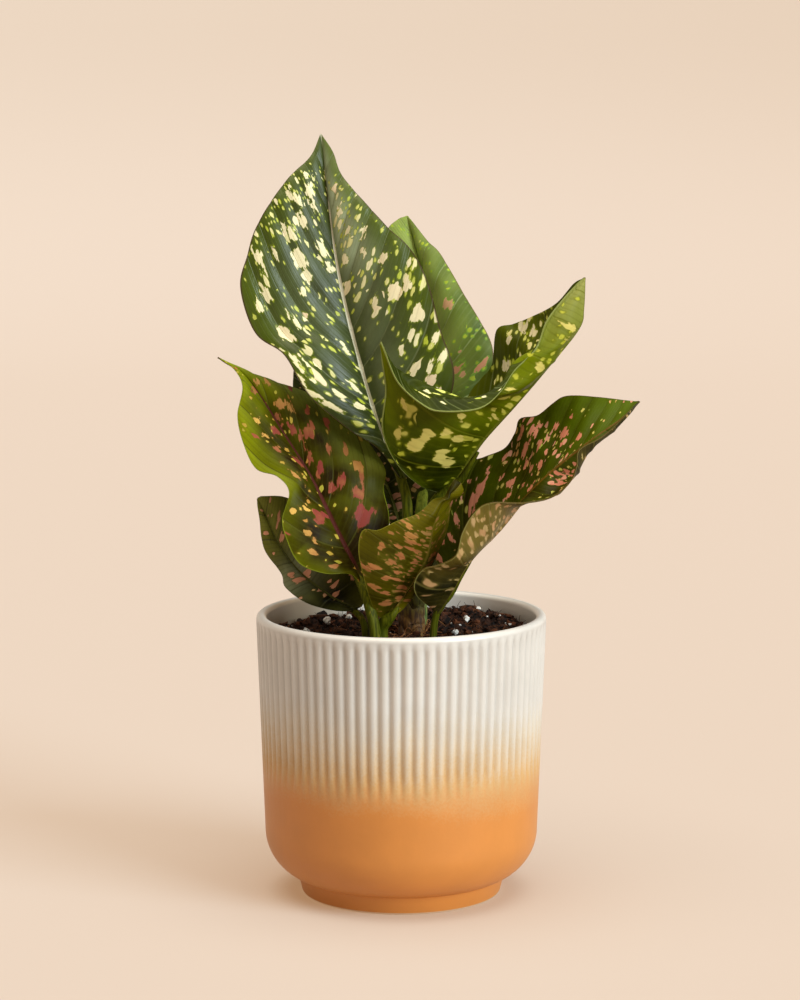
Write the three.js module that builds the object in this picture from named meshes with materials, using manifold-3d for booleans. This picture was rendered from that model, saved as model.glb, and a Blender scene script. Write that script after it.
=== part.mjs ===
// A variegated aglaonema in a fluted ceramic pot.
// Millimetres, +Z up. The origin is the middle of the foot, on the surface that the pot stands on.
// The plant faces -Y. Each leaf is one body with its own stalk, and the stalks stand in plain
// holes in the soil or in the top of the cane.

import * as THREE from 'three';
import { mergeVertices } from 'three/addons/utils/BufferGeometryUtils.js';
import Module from 'manifold-3d';

const wasm = await Module();
wasm.setup();

// Pot
const FOOT_RADIUS = 48.5;
const FOOT_TOP_RADIUS = 50.5;
const FOOT_HEIGHT = 9;
const BELLY_RADIUS = 24;
const BELLY_START_ANGLE = -68;
const WALL_FOOT_RADIUS = 66.2;
const RIM_RADIUS = 70;
const POT_HEIGHT = 137;
const LIP_HEIGHT = 5;
const WALL_THICKNESS = 5;
const FLOOR_THICKNESS = 8;
const POT_SIDES = 40;

// Flutes in the upper wall
const FLUTE_COUNT = 80;
const FLUTE_TOP = 131;
const FLUTE_BOTTOM = 58;
const FLUTE_RUNOUT = 8;
const FLUTE_DEPTH = 1;
const FLUTE_WIDTH = 2.2;
const FLUTE_END_SHARE = 0.02;

// Soil
const SOIL_LEVEL = 127;
const SOIL_RELIEF = 2.4;
const SOIL_RINGS = 8;
const SOIL_SIDES = 40;

// Cane, with ring-shaped leaf scars
const CANE_CENTRE = [5, -4];
const CANE_FOOT = 88;
const CANE_TOP = 158;
const CANE_RADIUS = 6.4;
const CANE_TAPER = 2;
const CANE_TAPER_HEIGHT = 6;
const CANE_SIDES = 16;
const CROWN_RADIUS = 7.6;
const CROWN_HEIGHT = 12;
const CROWN_BEVEL = 1.2;
const CANE_HOLE_TOP = 137;
const SCAR_HEIGHTS = [131, 136, 141];
const SCAR_DEPTH = 0.5;

// Young rolled leaf beside the cane
const SPEAR_FOOT = [11, 8, 104];
const SPEAR_LENGTH = 62;
const SPEAR_RADIUS = 1.7;
const SPEAR_TAPER = [[0.55, 1], [0.85, 0.6]];
const SPEAR_SIDES = 10;

// Blades and stalks
const BLADE_THICKNESS = 0.9;
const KEEL_DEPTH = 1.6;
const TIP_HALF_WIDTH = 0.5;
const STALK_SIDES = 10;
const STALK_STEP = 5;
const CLEARANCE = 0.3;
const MERGE_DISTANCE = 1e-4;

const DEGREES = Math.PI / 180;
const vec = ([x, y, z]) => new THREE.Vector3(x, y, z);

// A repeatable number from 0 to 1 for a pair of whole numbers
function scatter(a, b) {
  const s = Math.sin(a * 127.1 + b * 311.7) * 43758.5453;
  return s - Math.floor(s);
}

// A closed geometry as a solid that can be joined and cut
function toSolid(geometry) {
  const bare = geometry.clone();
  bare.deleteAttribute('normal');
  bare.deleteAttribute('uv');
  const merged = mergeVertices(bare, MERGE_DISTANCE);
  return new wasm.Manifold(new wasm.Mesh({
    numProp: 3,
    vertProperties: new Float32Array(merged.getAttribute('position').array),
    triVerts: new Uint32Array(merged.getIndex().array),
  }));
}

// A solid as a geometry again
function toGeometry(solid) {
  const mesh = solid.getMesh();
  const geometry = new THREE.BufferGeometry();
  geometry.setAttribute('position', new THREE.BufferAttribute(new Float32Array(mesh.vertProperties), 3));
  geometry.setIndex(new THREE.BufferAttribute(new Uint32Array(mesh.triVerts), 1));
  geometry.computeVertexNormals();
  return geometry;
}

// A turned shape about the Z axis from [radius, height] points that run anticlockwise
function turned(profile, sides) {
  const points = profile.map(([radius, height]) => new THREE.Vector2(radius, height));
  return new THREE.LatheGeometry(points, sides).rotateX(Math.PI / 2);
}

// Points of an arc in [radius, height], ends included
function arc(centreRadius, centreHeight, radius, fromDegrees, toDegrees, steps) {
  return Array.from({ length: steps + 1 }, (_, i) => {
    const angle = (fromDegrees + ((toDegrees - fromDegrees) * i) / steps) * DEGREES;
    return [centreRadius + radius * Math.cos(angle), centreHeight + radius * Math.sin(angle)];
  });
}

// A round bar along a smooth path, or the hole for it, which is a little fatter and deeper
function bar(path, radius, fatter = 0) {
  const [[x, y, z], ...rest] = path;
  const curve = new THREE.CatmullRomCurve3([[x, y, z - fatter], ...rest].map(vec), false, 'catmullrom', 0.5);
  const outline = new THREE.Shape();
  outline.absarc(0, 0, radius + fatter, 0, 2 * Math.PI);
  return new THREE.ExtrudeGeometry(outline, {
    extrudePath: curve,
    steps: Math.max(4, Math.round(curve.getLength() / STALK_STEP)),
    curveSegments: STALK_SIDES / 2,
    bevelEnabled: false,
  });
}

// Pot: foot, rounded belly, straight tapered wall and a rounded lip
const bellyCentreRadius = WALL_FOOT_RADIUS - BELLY_RADIUS;
const bellyCentreHeight = FOOT_HEIGHT - BELLY_RADIUS * Math.sin(BELLY_START_ANGLE * DEGREES);
const lipRadius = WALL_THICKNESS / 2;
const lipCentreRadius = RIM_RADIUS - lipRadius;
const lipCentreHeight = POT_HEIGHT - lipRadius;
const innerBelly = BELLY_RADIUS - WALL_THICKNESS;

// Radius of the outside wall at a height above the belly
function wallRadius(height) {
  const share = (height - bellyCentreHeight) / (POT_HEIGHT - LIP_HEIGHT - bellyCentreHeight);
  return WALL_FOOT_RADIUS + (RIM_RADIUS - WALL_FOOT_RADIUS) * share;
}

// Outline of the inside of the pot from the middle of its floor up to a height
function innerOutline(topHeight, gap) {
  return [
    [0, FLOOR_THICKNESS + gap],
    ...arc(bellyCentreRadius, FLOOR_THICKNESS + innerBelly, innerBelly - gap, -90, 0, 3),
    [wallRadius(topHeight) - WALL_THICKNESS - gap, topHeight],
  ];
}

// One flute as a slim wedge with a rounded-off foot, to be cut from the wall
function fluteCutter() {
  const outside = 2;
  const stations = [
    [FLUTE_TOP, FLUTE_END_SHARE],
    [FLUTE_TOP - 2, 1],
    [FLUTE_BOTTOM + FLUTE_RUNOUT, 0.8],
    [FLUTE_BOTTOM, FLUTE_END_SHARE],
  ];
  const positions = [];
  for (const [height, share] of stations) {
    const surface = wallRadius(height);
    const halfWidth = (FLUTE_WIDTH / 2) * share * (1 + outside / FLUTE_DEPTH);
    positions.push(surface - FLUTE_DEPTH * share, 0, height);
    positions.push(surface + outside * share, halfWidth, height);
    positions.push(surface + outside * share, -halfWidth, height);
  }
  const indices = [0, 2, 1];
  for (let s = 0; s < stations.length - 1; s += 1) {
    for (let k = 0; k < 3; k += 1) {
      const a = s * 3 + k;
      const b = s * 3 + ((k + 1) % 3);
      indices.push(a, b, a + 3, b, b + 3, a + 3);
    }
  }
  const last = (stations.length - 1) * 3;
  indices.push(last, last + 1, last + 2);
  const geometry = new THREE.BufferGeometry();
  geometry.setAttribute('position', new THREE.Float32BufferAttribute(positions, 3));
  geometry.setIndex(indices);
  return geometry;
}

function potGeometry() {
  const outside = [
    [0, 0],
    [FOOT_RADIUS - 1, 0],
    [FOOT_RADIUS, 1],
    [FOOT_TOP_RADIUS, FOOT_HEIGHT],
    ...arc(bellyCentreRadius, bellyCentreHeight, BELLY_RADIUS, BELLY_START_ANGLE, 0, 4),
    [RIM_RADIUS - 0.2, POT_HEIGHT - LIP_HEIGHT],
    ...arc(lipCentreRadius, lipCentreHeight, lipRadius, 0, 180, 4),
  ];
  const inside = innerOutline(POT_HEIGHT - LIP_HEIGHT, 0).reverse();
  let pot = toSolid(turned([...outside, ...inside], POT_SIDES));
  const flute = fluteCutter();
  for (let i = 0; i < FLUTE_COUNT; i += 1) {
    const angle = ((i + 0.5) / FLUTE_COUNT) * 2 * Math.PI;
    pot = pot.subtract(toSolid(flute.clone().rotateZ(angle)));
  }
  return toGeometry(pot);
}

// Leaf outlines, listed from the foot of the blade to its tip.
// midrib, left and right are the rib and the two edges, as seen on the upper face with the tip up.
// A half with a rolled edge has a fold line too, and lip is then the free edge past the fold.
// bulge is how far each half stands up between the rib and its edge, left then right.
const LEAVES = [
  {
    name: 'leaf_back_tall',
    color: 0x2f5d2c,
    rows: 18,
    stalkRadius: 2.3,
    bulge: [4, 4],
    stalk: [[2, -7, 147], [2, -7, 156], [2, -5, 171], [1, -2, 184], [1, 0, 195], [0, 1, 208]],
    midrib: [
      [1, 0, 202], [-4, 1, 212], [-12, 6, 230], [-23, 15, 268], [-31, 21, 304], [-36, 29, 342],
      [-39, 36, 366],
    ],
    left: [
      [-1, -1, 203], [-11, -5, 217], [-25, -8, 227], [-44, -7, 243], [-56, -2, 262], [-70, 4, 272],
      [-77, 9, 293], [-74, 12, 308], [-69, 16, 323], [-55, 23, 344], [-44, 29, 355],
    ],
    right: [
      [3, -1, 203], [11, -6, 211], [20, -8, 227], [24, -7, 243], [25, -5, 256], [19, 1, 273],
      [13, 6, 295], [5, 10, 311], [-7, 14, 322], [-19, 19, 335], [-29, 25, 347], [-33, 31, 357],
    ],
  },
  {
    name: 'leaf_back_right',
    color: 0x5c8a35,
    rows: 14,
    stalkRadius: 2,
    bulge: [3, 5],
    stalk: [[8, -1, 147], [8, -1, 156], [8, 3, 169], [8, 9, 181], [9, 12, 190], [11, 18, 206]],
    midrib: [
      [9, 16, 200], [14, 22, 216], [19, 31, 239], [18, 42, 265], [13, 53, 289], [7, 62, 311],
      [3, 66, 325],
    ],
    left: [
      [7, 17, 201], [-3, 26, 213], [-11, 36, 237], [-14, 44, 265], [-12, 54, 294], [-8, 62, 316],
      [-2, 65, 323],
    ],
    right: [
      [12, 16, 201], [24, 21, 208], [36, 29, 227], [43, 33, 244], [45, 33, 256], [43, 35, 267],
      [32, 42, 285], [20, 52, 306], [13, 57, 313], [5, 64, 323],
    ],
  },
  {
    name: 'leaf_trough',
    color: 0x5f6f22,
    rows: 24,
    stalkRadius: 2.2,
    bulge: [-3, -6],
    stalk: [[8, -7, 147], [8, -8, 157], [10, -8, 169], [14, -6, 180], [19, -5, 190], [26, -6, 203]],
    midrib: [
      [21, -4, 196], [29, -7, 208], [38, -10, 222], [53, -13, 239], [72, -14, 261], [84, -12, 276],
      [86, -10, 285], [87, -6, 299],
    ],
    left: [
      [22, -3, 198], [26, 8, 214], [32, 19, 238], [39, 20, 248], [44, 19, 255], [46, 18, 272],
      [54, 16, 275], [63, 12, 279], [74, 4, 286], [82, -3, 296],
    ],
    right: [
      [19, -5, 196], [10, -12, 201], [-2, -20, 214], [-8, -26, 229], [-6, -30, 246], [-5, -31, 257],
      [-1, -33, 256], [7, -35, 248], [23, -37, 245], [38, -35, 247], [49, -29, 255], [52, -26, 262],
      [63, -22, 268], [69, -19, 279], [77, -14, 288], [85, -8, 296],
    ],
    rightLip: [
      [18, -6, 196], [8, -13, 201], [-3, -21, 213], [-9, -28, 229], [-7, -31, 249], [-10, -31, 271],
      [-2, -38, 253], [10, -42, 242], [19, -43, 239], [36, -41, 240], [46, -35, 247], [53, -29, 257],
      [63, -25, 267], [68, -21, 279], [76, -16, 289], [84, -9, 297],
    ],
  },
  {
    name: 'leaf_right',
    color: 0x35501f,
    rows: 20,
    stalkRadius: 1.9,
    bulge: [-3, -4],
    stalk: [[15, -20, 100], [15, -20, 115], [15, -20, 129], [17, -20, 141], [20, -21, 147]],
    midrib: [
      [17, -20, 141], [24, -22, 153], [32, -25, 167], [46, -28, 182], [58, -30, 197], [71, -31, 210],
      [90, -31, 225], [103, -29, 234], [112, -26, 242],
    ],
    left: [
      [18, -19, 143], [19, -10, 157], [21, -5, 170], [24, 1, 192], [31, 5, 208], [40, 5, 212],
      [50, 4, 216], [55, 2, 224], [57, 1, 231], [65, -3, 233], [72, -7, 239], [79, -10, 243],
      [94, -16, 243], [107, -22, 242],
    ],
    right: [
      [15, -21, 142], [7, -37, 152], [6, -42, 159], [10, -45, 165], [17, -46, 167], [25, -47, 172],
      [28, -49, 183], [33, -51, 192], [40, -51, 197], [54, -48, 197], [69, -44, 199], [79, -42, 206],
      [82, -41, 214], [83, -40, 221], [94, -36, 227], [103, -31, 234], [110, -27, 241],
    ],
  },
  {
    name: 'leaf_front',
    color: 0x6d6a1e,
    rows: 12,
    stalkRadius: 2.5,
    bulge: [-2, -4],
    stalk: [[-10, -31, 100], [-10, -31, 116], [-9, -31, 129], [-7, -31, 138], [-3, -32, 146]],
    midrib: [
      [-4, -31, 143], [4, -31, 154], [12, -35, 169], [14, -38, 184], [17, -37, 192], [21, -35, 198],
      [25, -33, 201], [28, -31, 204],
    ],
    left: [
      [-2, -30, 143], [5, -25, 148], [12, -23, 159], [18, -18, 172], [22, -17, 181], [23, -19, 190],
      [23, -24, 195], [26, -30, 197], [29, -30, 200],
    ],
    right: [
      [-6, -32, 142], [-10, -35, 146], [-16, -41, 160], [-20, -45, 174], [-18, -46, 184], [-11, -46, 184],
      [-2, -45, 188], [8, -42, 191], [15, -38, 197], [20, -36, 198], [22, -34, 201], [25, -32, 206],
    ],
  },
  {
    name: 'leaf_left',
    color: 0x4f7a22,
    rows: 18,
    stalkRadius: 2,
    bulge: [3, 4],
    stalk: [
      [-13, -36, 100], [-13, -36, 117], [-13, -36, 130], [-14, -35, 140], [-17, -31, 152],
      [-20, -29, 160],
    ],
    midrib: [
      [-18, -29, 156], [-21, -28, 162], [-31, -22, 181], [-42, -12, 202], [-55, -2, 222], [-69, 6, 243],
      [-77, 7, 252], [-88, 5, 260],
    ],
    left: [
      [-19, -30, 155], [-24, -33, 161], [-36, -37, 162], [-48, -37, 167], [-54, -34, 178], [-56, -30, 187],
      [-53, -25, 199], [-59, -20, 206], [-69, -16, 209], [-75, -11, 220], [-78, -5, 233], [-76, 1, 246],
      [-80, 5, 254],
    ],
    right: [
      [-16, -28, 157], [-12, -24, 164], [-7, -16, 175], [-6, -11, 185], [-9, -5, 197], [-8, -2, 206],
      [-12, 1, 214], [-22, 6, 227], [-37, 11, 238], [-53, 13, 245], [-70, 11, 251], [-81, 7, 256],
    ],
  },
  {
    name: 'leaf_low_left',
    color: 0x3c5134,
    rows: 12,
    stalkRadius: 1.6,
    bulge: [2, 3],
    stalk: [[-17, -27, 100], [-17, -27, 116], [-17, -27, 131], [-19, -26, 139], [-26, -22, 145]],
    midrib: [
      [-22, -24, 143], [-34, -18, 148], [-49, -12, 159], [-59, -8, 172], [-65, -4, 184], [-69, -3, 193],
    ],
    left: [
      [-23, -25, 142], [-32, -24, 142], [-45, -20, 145], [-55, -17, 152], [-57, -15, 158], [-65, -10, 169],
      [-68, -6, 184], [-69, -4, 190],
    ],
    right: [[-21, -23, 145], [-24, -14, 155], [-34, -6, 167], [-43, -2, 180], [-53, 0, 192], [-66, -3, 194]],
  },
  {
    name: 'leaf_back_left',
    color: 0x33502c,
    rows: 12,
    stalkRadius: 1.8,
    bulge: [3, 3],
    stalk: [[2, -1, 147], [2, -1, 155], [1, 3, 165], [-1, 5, 176]],
    midrib: [[0, 4, 172], [-4, 10, 189], [-15, 20, 213], [-30, 30, 232], [-41, 37, 246], [-49, 42, 259]],
    left: [
      [-2, 3, 172], [-8, 6, 184], [-18, 13, 199], [-31, 22, 213], [-44, 31, 227], [-52, 37, 239],
      [-53, 40, 247], [-52, 42, 254],
    ],
    right: [
      [2, 4, 173], [4, 8, 188], [0, 13, 205], [-5, 19, 223], [-14, 28, 239], [-28, 37, 252],
      [-41, 42, 260],
    ],
  },
];

// Places of the columns in one half of a blade, from the rib at 0 to the edge at 1
const HALF_COLUMNS = [0.08, 0.38, 0.7, 1];
const LIP_COLUMNS = [1.5, 2];

// A smooth line through an edge's points, which ends just beside the tip
function edgeCurve(points, tip) {
  const last = vec(points[points.length - 1]);
  const end = tip.clone().add(last.sub(tip).setLength(TIP_HALF_WIDTH));
  return new THREE.CatmullRomCurve3([...points.map(vec), end], false, 'catmullrom', 0.5);
}

// Rows of points across the blade, left edge to right edge, from its foot to its tip
function bladeRows(leaf) {
  const rib = new THREE.CatmullRomCurve3(leaf.midrib.map(vec), false, 'catmullrom', 0.5);
  const tip = rib.getPoint(1);
  const halves = [
    { edge: edgeCurve(leaf.left, tip), bulge: leaf.bulge[0], turn: 1 },
    { edge: edgeCurve(leaf.right, tip), bulge: leaf.bulge[1], turn: -1 },
  ];
  if (leaf.rightLip) {
    halves[1].lip = edgeCurve(leaf.rightLip, tip);
  }
  return Array.from({ length: leaf.rows + 1 }, (_, row) => {
    const along = row / leaf.rows;
    const middle = rib.getPointAt(along);
    const direction = rib.getTangentAt(along);
    const [left, right] = halves.map(({ edge, bulge, turn, lip }) => {
      const outer = edge.getPointAt(along);
      const reach = outer.clone().sub(middle);
      const up = direction.clone().cross(reach).normalize().multiplyScalar(turn);
      const rise = bulge * Math.min(1, 4 * along, 4 * (1 - along));
      const points = HALF_COLUMNS.map((share) => middle
        .clone()
        .addScaledVector(reach, share)
        .addScaledVector(up, 4 * rise * share * (1 - share)));
      if (lip) {
        const free = lip.getPointAt(along);
        points.push(...LIP_COLUMNS.map((share) => outer.clone().lerp(free, share - 1)));
      }
      return points;
    });
    return [...left.reverse(), middle, ...right];
  });
}

// A blade: two alike faces a blade's thickness apart, with the rib standing out below as a keel
function bladeGeometry(leaf) {
  const rows = bladeRows(leaf);
  const width = rows[0].length;
  const ribColumn = HALF_COLUMNS.length;
  const upper = [];
  const lower = [];
  rows.forEach((row, i) => {
    const keel = KEEL_DEPTH * (1 - i / leaf.rows);
    row.forEach((point, j) => {
      const before = rows[Math.max(0, i - 1)][j];
      const after = rows[Math.min(leaf.rows, i + 1)][j];
      const leftward = row[Math.max(0, j - 1)];
      const rightward = row[Math.min(width - 1, j + 1)];
      const across = rightward.clone().sub(leftward);
      const normal = across.cross(after.clone().sub(before)).normalize();
      const nearRib = Math.abs(j - ribColumn) <= 1 ? keel : 0;
      upper.push(point.clone().addScaledVector(normal, BLADE_THICKNESS / 2));
      lower.push(point.clone().addScaledVector(normal, -BLADE_THICKNESS / 2 - nearRib));
    });
  });
  const positions = [...upper, ...lower].flatMap((p) => [p.x, p.y, p.z]);
  const under = upper.length;
  const indices = [];
  for (let i = 0; i < leaf.rows; i += 1) {
    for (let j = 0; j < width - 1; j += 1) {
      const a = i * width + j;
      const quad = [a, a + 1, a + width + 1, a + width];
      const [p, q, r, s] = j < ribColumn ? quad : [quad[1], quad[2], quad[3], quad[0]];
      indices.push(p, q, r, p, r, s);
      indices.push(under + p, under + r, under + q, under + p, under + s, under + r);
    }
  }
  const rimLoop = [];
  for (let j = 0; j < width - 1; j += 1) rimLoop.push(j);
  for (let i = 0; i < leaf.rows; i += 1) rimLoop.push(i * width + width - 1);
  for (let j = width - 1; j > 0; j -= 1) rimLoop.push(leaf.rows * width + j);
  for (let i = leaf.rows; i > 0; i -= 1) rimLoop.push(i * width);
  rimLoop.forEach((a, k) => {
    const b = rimLoop[(k + 1) % rimLoop.length];
    indices.push(a, under + a, b, b, under + a, under + b);
  });
  const geometry = new THREE.BufferGeometry();
  geometry.setAttribute('position', new THREE.Float32BufferAttribute(positions, 3));
  geometry.setIndex(indices);
  return geometry;
}

// A leaf is its blade and its stalk in one body
function leafGeometry(leaf) {
  const blade = toSolid(bladeGeometry(leaf));
  const stalk = toSolid(bar(leaf.stalk, leaf.stalkRadius));
  return toGeometry(blade.add(stalk));
}

// Cane: a stubby stem with leaf scars, and sockets in its crown for the stalks that grow from it
function caneGeometry(stalkHoles) {
  const profile = [
    [0, CANE_FOOT],
    [CANE_RADIUS - CANE_TAPER, CANE_FOOT],
    [CANE_RADIUS, CANE_FOOT + CANE_TAPER_HEIGHT],
  ];
  for (const height of SCAR_HEIGHTS) {
    profile.push([CANE_RADIUS, height - 1], [CANE_RADIUS - SCAR_DEPTH, height], [CANE_RADIUS, height + 1]);
  }
  profile.push([CROWN_RADIUS, CANE_TOP - CROWN_HEIGHT], [CROWN_RADIUS, CANE_TOP - CROWN_BEVEL]);
  profile.push([CROWN_RADIUS - CROWN_BEVEL, CANE_TOP], [0, CANE_TOP]);
  let cane = toSolid(turned(profile, CANE_SIDES).translate(...CANE_CENTRE, 0));
  for (const hole of stalkHoles) {
    cane = cane.subtract(hole);
  }
  return toGeometry(cane);
}

// The young leaf: still rolled up to a slim point
function spearGeometry(fatter = 0) {
  const radius = SPEAR_RADIUS + fatter;
  const profile = [
    [0, -fatter],
    [radius, -fatter],
    ...SPEAR_TAPER.map(([along, share]) => [radius * share, SPEAR_LENGTH * along]),
    [0, SPEAR_LENGTH + fatter],
  ];
  return turned(profile, SPEAR_SIDES).translate(...SPEAR_FOOT);
}

// Soil: fills the pot up to a crumbly surface, with a hole for each stem
function soilGeometry(holes) {
  const profile = innerOutline(SOIL_LEVEL, CLEARANCE);
  const topRadius = profile[profile.length - 1][0];
  for (let ring = 1; ring <= SOIL_RINGS; ring += 1) {
    profile.push([topRadius * (1 - ring / SOIL_RINGS), SOIL_LEVEL]);
  }
  const lathe = turned(profile, SOIL_SIDES);
  lathe.deleteAttribute('normal');
  lathe.deleteAttribute('uv');
  const geometry = mergeVertices(lathe, MERGE_DISTANCE);
  const position = geometry.getAttribute('position');
  for (let i = 0; i < position.count; i += 1) {
    const radius = Math.hypot(position.getX(i), position.getY(i));
    const onTop = position.getZ(i) > SOIL_LEVEL - 1 && radius < topRadius - 1;
    if (onTop) {
      position.setZ(i, SOIL_LEVEL + SOIL_RELIEF * (2 * scatter(i, 7) - 0.9));
    }
  }
  let soil = toSolid(geometry);
  for (const hole of holes) {
    soil = soil.subtract(hole);
  }
  return toGeometry(soil);
}

function material(color, roughness) {
  return new THREE.MeshStandardMaterial({ color, roughness, metalness: 0 });
}

function piece(name, geometry, color, roughness) {
  const mesh = new THREE.Mesh(geometry, material(color, roughness));
  mesh.name = name;
  return mesh;
}

const isInCane = (leaf) => {
  const [x, y] = leaf.stalk[0];
  return Math.hypot(x - CANE_CENTRE[0], y - CANE_CENTRE[1]) < CANE_RADIUS;
};
const stalkHole = (leaf) => toSolid(bar(leaf.stalk, leaf.stalkRadius, CLEARANCE));
const caneHoles = LEAVES.filter(isInCane).map(stalkHole);
const soilHoles = LEAVES.filter((leaf) => !isInCane(leaf)).map(stalkHole);
const caneHole = turned([
  [0, CANE_FOOT - CLEARANCE],
  [CANE_RADIUS + CLEARANCE, CANE_FOOT - CLEARANCE],
  [CANE_RADIUS + CLEARANCE, CANE_HOLE_TOP],
  [0, CANE_HOLE_TOP],
], CANE_SIDES).translate(...CANE_CENTRE, 0);
soilHoles.push(toSolid(caneHole), toSolid(spearGeometry(CLEARANCE)));

const plant = new THREE.Group();
plant.add(
  piece('pot', potGeometry(), 0xe3b990, 0.45),
  piece('soil', soilGeometry(soilHoles), 0x2b1a12, 1),
  piece('cane', caneGeometry(caneHoles), 0x7c6a35, 0.8),
  piece('spear', spearGeometry(), 0x9fb65a, 0.5),
  ...LEAVES.map((leaf) => piece(leaf.name, leafGeometry(leaf), leaf.color, 0.4)),
);

export default plant;
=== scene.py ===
import math
import random

import bmesh
import bpy
from mathutils import Matrix, Vector, noise


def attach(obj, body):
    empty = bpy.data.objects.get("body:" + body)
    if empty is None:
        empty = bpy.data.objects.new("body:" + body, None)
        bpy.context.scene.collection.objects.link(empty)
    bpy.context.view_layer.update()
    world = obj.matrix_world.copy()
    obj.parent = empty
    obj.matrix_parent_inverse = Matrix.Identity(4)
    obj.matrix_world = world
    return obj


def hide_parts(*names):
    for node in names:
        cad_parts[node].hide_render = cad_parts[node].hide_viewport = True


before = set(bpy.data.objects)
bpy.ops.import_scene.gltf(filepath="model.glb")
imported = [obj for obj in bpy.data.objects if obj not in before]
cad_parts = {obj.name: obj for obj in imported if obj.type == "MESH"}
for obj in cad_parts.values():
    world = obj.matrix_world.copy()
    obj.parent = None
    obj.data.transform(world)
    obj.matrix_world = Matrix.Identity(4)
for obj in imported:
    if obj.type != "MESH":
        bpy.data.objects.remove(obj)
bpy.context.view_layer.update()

# Camera: the photo looks at the plant from a little above the pot's rim, slightly downwards,
# with a long lens. Its focal length is known in pixels of the 800 by 1000 picture.
CAMERA_PLACE = (-0.0006, -1.400, 0.387)
CAMERA_PITCH = math.radians(7.94)
FOCAL_PIXELS = 2940
PICTURE_HEIGHT_PIXELS = 1000
SENSOR_HEIGHT = 36.0
camera_data = bpy.data.cameras.new("camera")
camera_data.sensor_fit = "VERTICAL"
camera_data.sensor_height = SENSOR_HEIGHT
camera_data.lens = SENSOR_HEIGHT * FOCAL_PIXELS / PICTURE_HEIGHT_PIXELS
camera = bpy.data.objects.new("camera", camera_data)
camera.location = CAMERA_PLACE
camera.rotation_euler = (math.radians(90) - CAMERA_PITCH, 0, 0)
bpy.context.scene.collection.objects.link(camera)
bpy.context.scene.camera = camera

# Pot: one piece of cast stoneware with a stepped foot, a rounded belly and a straight wall that is
# fluted all round. A white glaze is sprayed over an orange one, so that the two fade into each other
# and the orange reaches further up in the grooves. The clay is bare under the foot.
MM = 0.001
FOOT_RADIUS = 48.5
FOOT_TOP_RADIUS = 50.5
FOOT_HEIGHT = 9
FOOT_EDGE = [(-1.2, 0), (-0.4, 0.35), (0, 1.2)]
FOOT_SHOULDER = [(-0.2, -0.6), (0, -0.1)]
BELLY_RADIUS = 24
BELLY_START_ANGLE = -68
HIDDEN_BY_SHOULDER = 2
WALL_FOOT_RADIUS = 66.2
RIM_RADIUS = 70
POT_HEIGHT = 137
LIP_HEIGHT = 5
WALL_THICKNESS = 5
FLOOR_THICKNESS = 8
INNER_WALL_HEIGHTS = [110, 60]
BELLY_STEPS = 14
LIP_STEPS = 10
INNER_BELLY_STEPS = 6
FLUTE_COUNT = 80
FLUTE_STEPS = 12
POT_SECTORS = 16
FLUTE_TOP = 132.5
FLUTE_TOP_ROUND = 5
FLUTE_TOP_ROWS = 6
FLUTE_ROW_GAP = 18
FLUTE_BOTTOM = 57
FLUTE_RUNOUT = 15
FLUTE_RUNOUT_ROWS = 8
FLUTE_RUNOUT_EASE = 1.3
FLUTE_DEPTH = 1.25
FLUTE_SHARPNESS = 1.5
NEAR_OUTSIDE = 1
GLAZE_WHITE = "#cdc8c1"
GLAZE_BETWEEN = [(0.32, "#c99f69"), (0.56, "#ccb494"), (0.78, "#cdc2b2")]
GLAZE_ORANGE = "#cb8137"
GLAZE_ROUGHNESS = (0.50, 0.36)
FADE_START = 0.0419
FADE_REACH = 0.056
DRIFT_WAVES = 22
DRIFT_HEIGHT = 0.020
MIST_WAVES = 900
MIST_HEIGHT = 0.014
GROOVE_HEIGHT = 0.012
RIGHT_SIDE = (0.01, 0.055)
RIGHT_DROP = 0.0065
BELOW_FLUTES = 0.8
CLOUD_WAVES = 60
CLOUD_CONTRAST = (0.97, 1.03)
# Painted shade darkens the white towards the left and in the flute hollows; a painted highlight whitens the
# lip.
LEFT_SIDE = (-0.05, 0.025)
LEFT_PAINTED_SHADE = 0.82
LIP_HEIGHTS = (0.1335, 0.1365)
LIP_PAINTED_LIGHT = 1.19
HOLLOW_PAINTED_SHADE = 0.14
HOLLOW_HEIGHTS = (0.06, 0.08)
# The inside glaze, and a darker painted shade of it for the left of the inner wall.
INNER_GLAZE = "#fdf7ee"
INNER_GLAZE_PAINTED_SHADE = "#b9a58c"
INNER_RADII = (0.0668, 0.0655)
INNER_HEIGHTS = (0.095, 0.105)
BISQUE = "#d9c3a6"
BISQUE_HEIGHTS = (0.0011, 0.0006)
PIT_WAVES = 420
GLAZE_COAT = 0.15
GLAZE_COAT_ROUGHNESS = 0.3


def arc(centre_radius, centre_height, radius, start, end, steps):
    """Points of an arc in radius and height, ends included."""
    angles = [math.radians(start + (end - start) * i / steps) for i in range(steps + 1)]
    return [(centre_radius + radius * math.cos(a), centre_height + radius * math.sin(a)) for a in angles]


def face_outwards(bm, smooth=False):
    """Turns all faces outwards and sets how they are shaded."""
    bmesh.ops.recalc_face_normals(bm, faces=bm.faces)
    for face in bm.faces:
        face.smooth = smooth


def tint(colour):
    """A screen colour such as #aabbcc in the scene's linear values."""
    channels = [int(colour[i:i + 2], 16) / 255 for i in (1, 3, 5)]
    return [c / 12.92 if c <= 0.04045 else ((c + 0.055) / 1.055) ** 2.4 for c in channels] + [1.0]


def set_sockets(tree, node, sockets):
    """Gives each socket named its value, or links it to the socket given."""
    for name, value in sockets.items():
        if isinstance(value, bpy.types.NodeSocket):
            tree.links.new(value, node.inputs[name])
        else:
            node.inputs[name].default_value = value


def add_node(tree, kind, sockets=None, **settings):
    """A new node with its settings made and its sockets set or linked."""
    made = tree.nodes.new(kind)
    for name, value in settings.items():
        setattr(made, name, value)
    set_sockets(tree, made, sockets or {})
    return made


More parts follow.
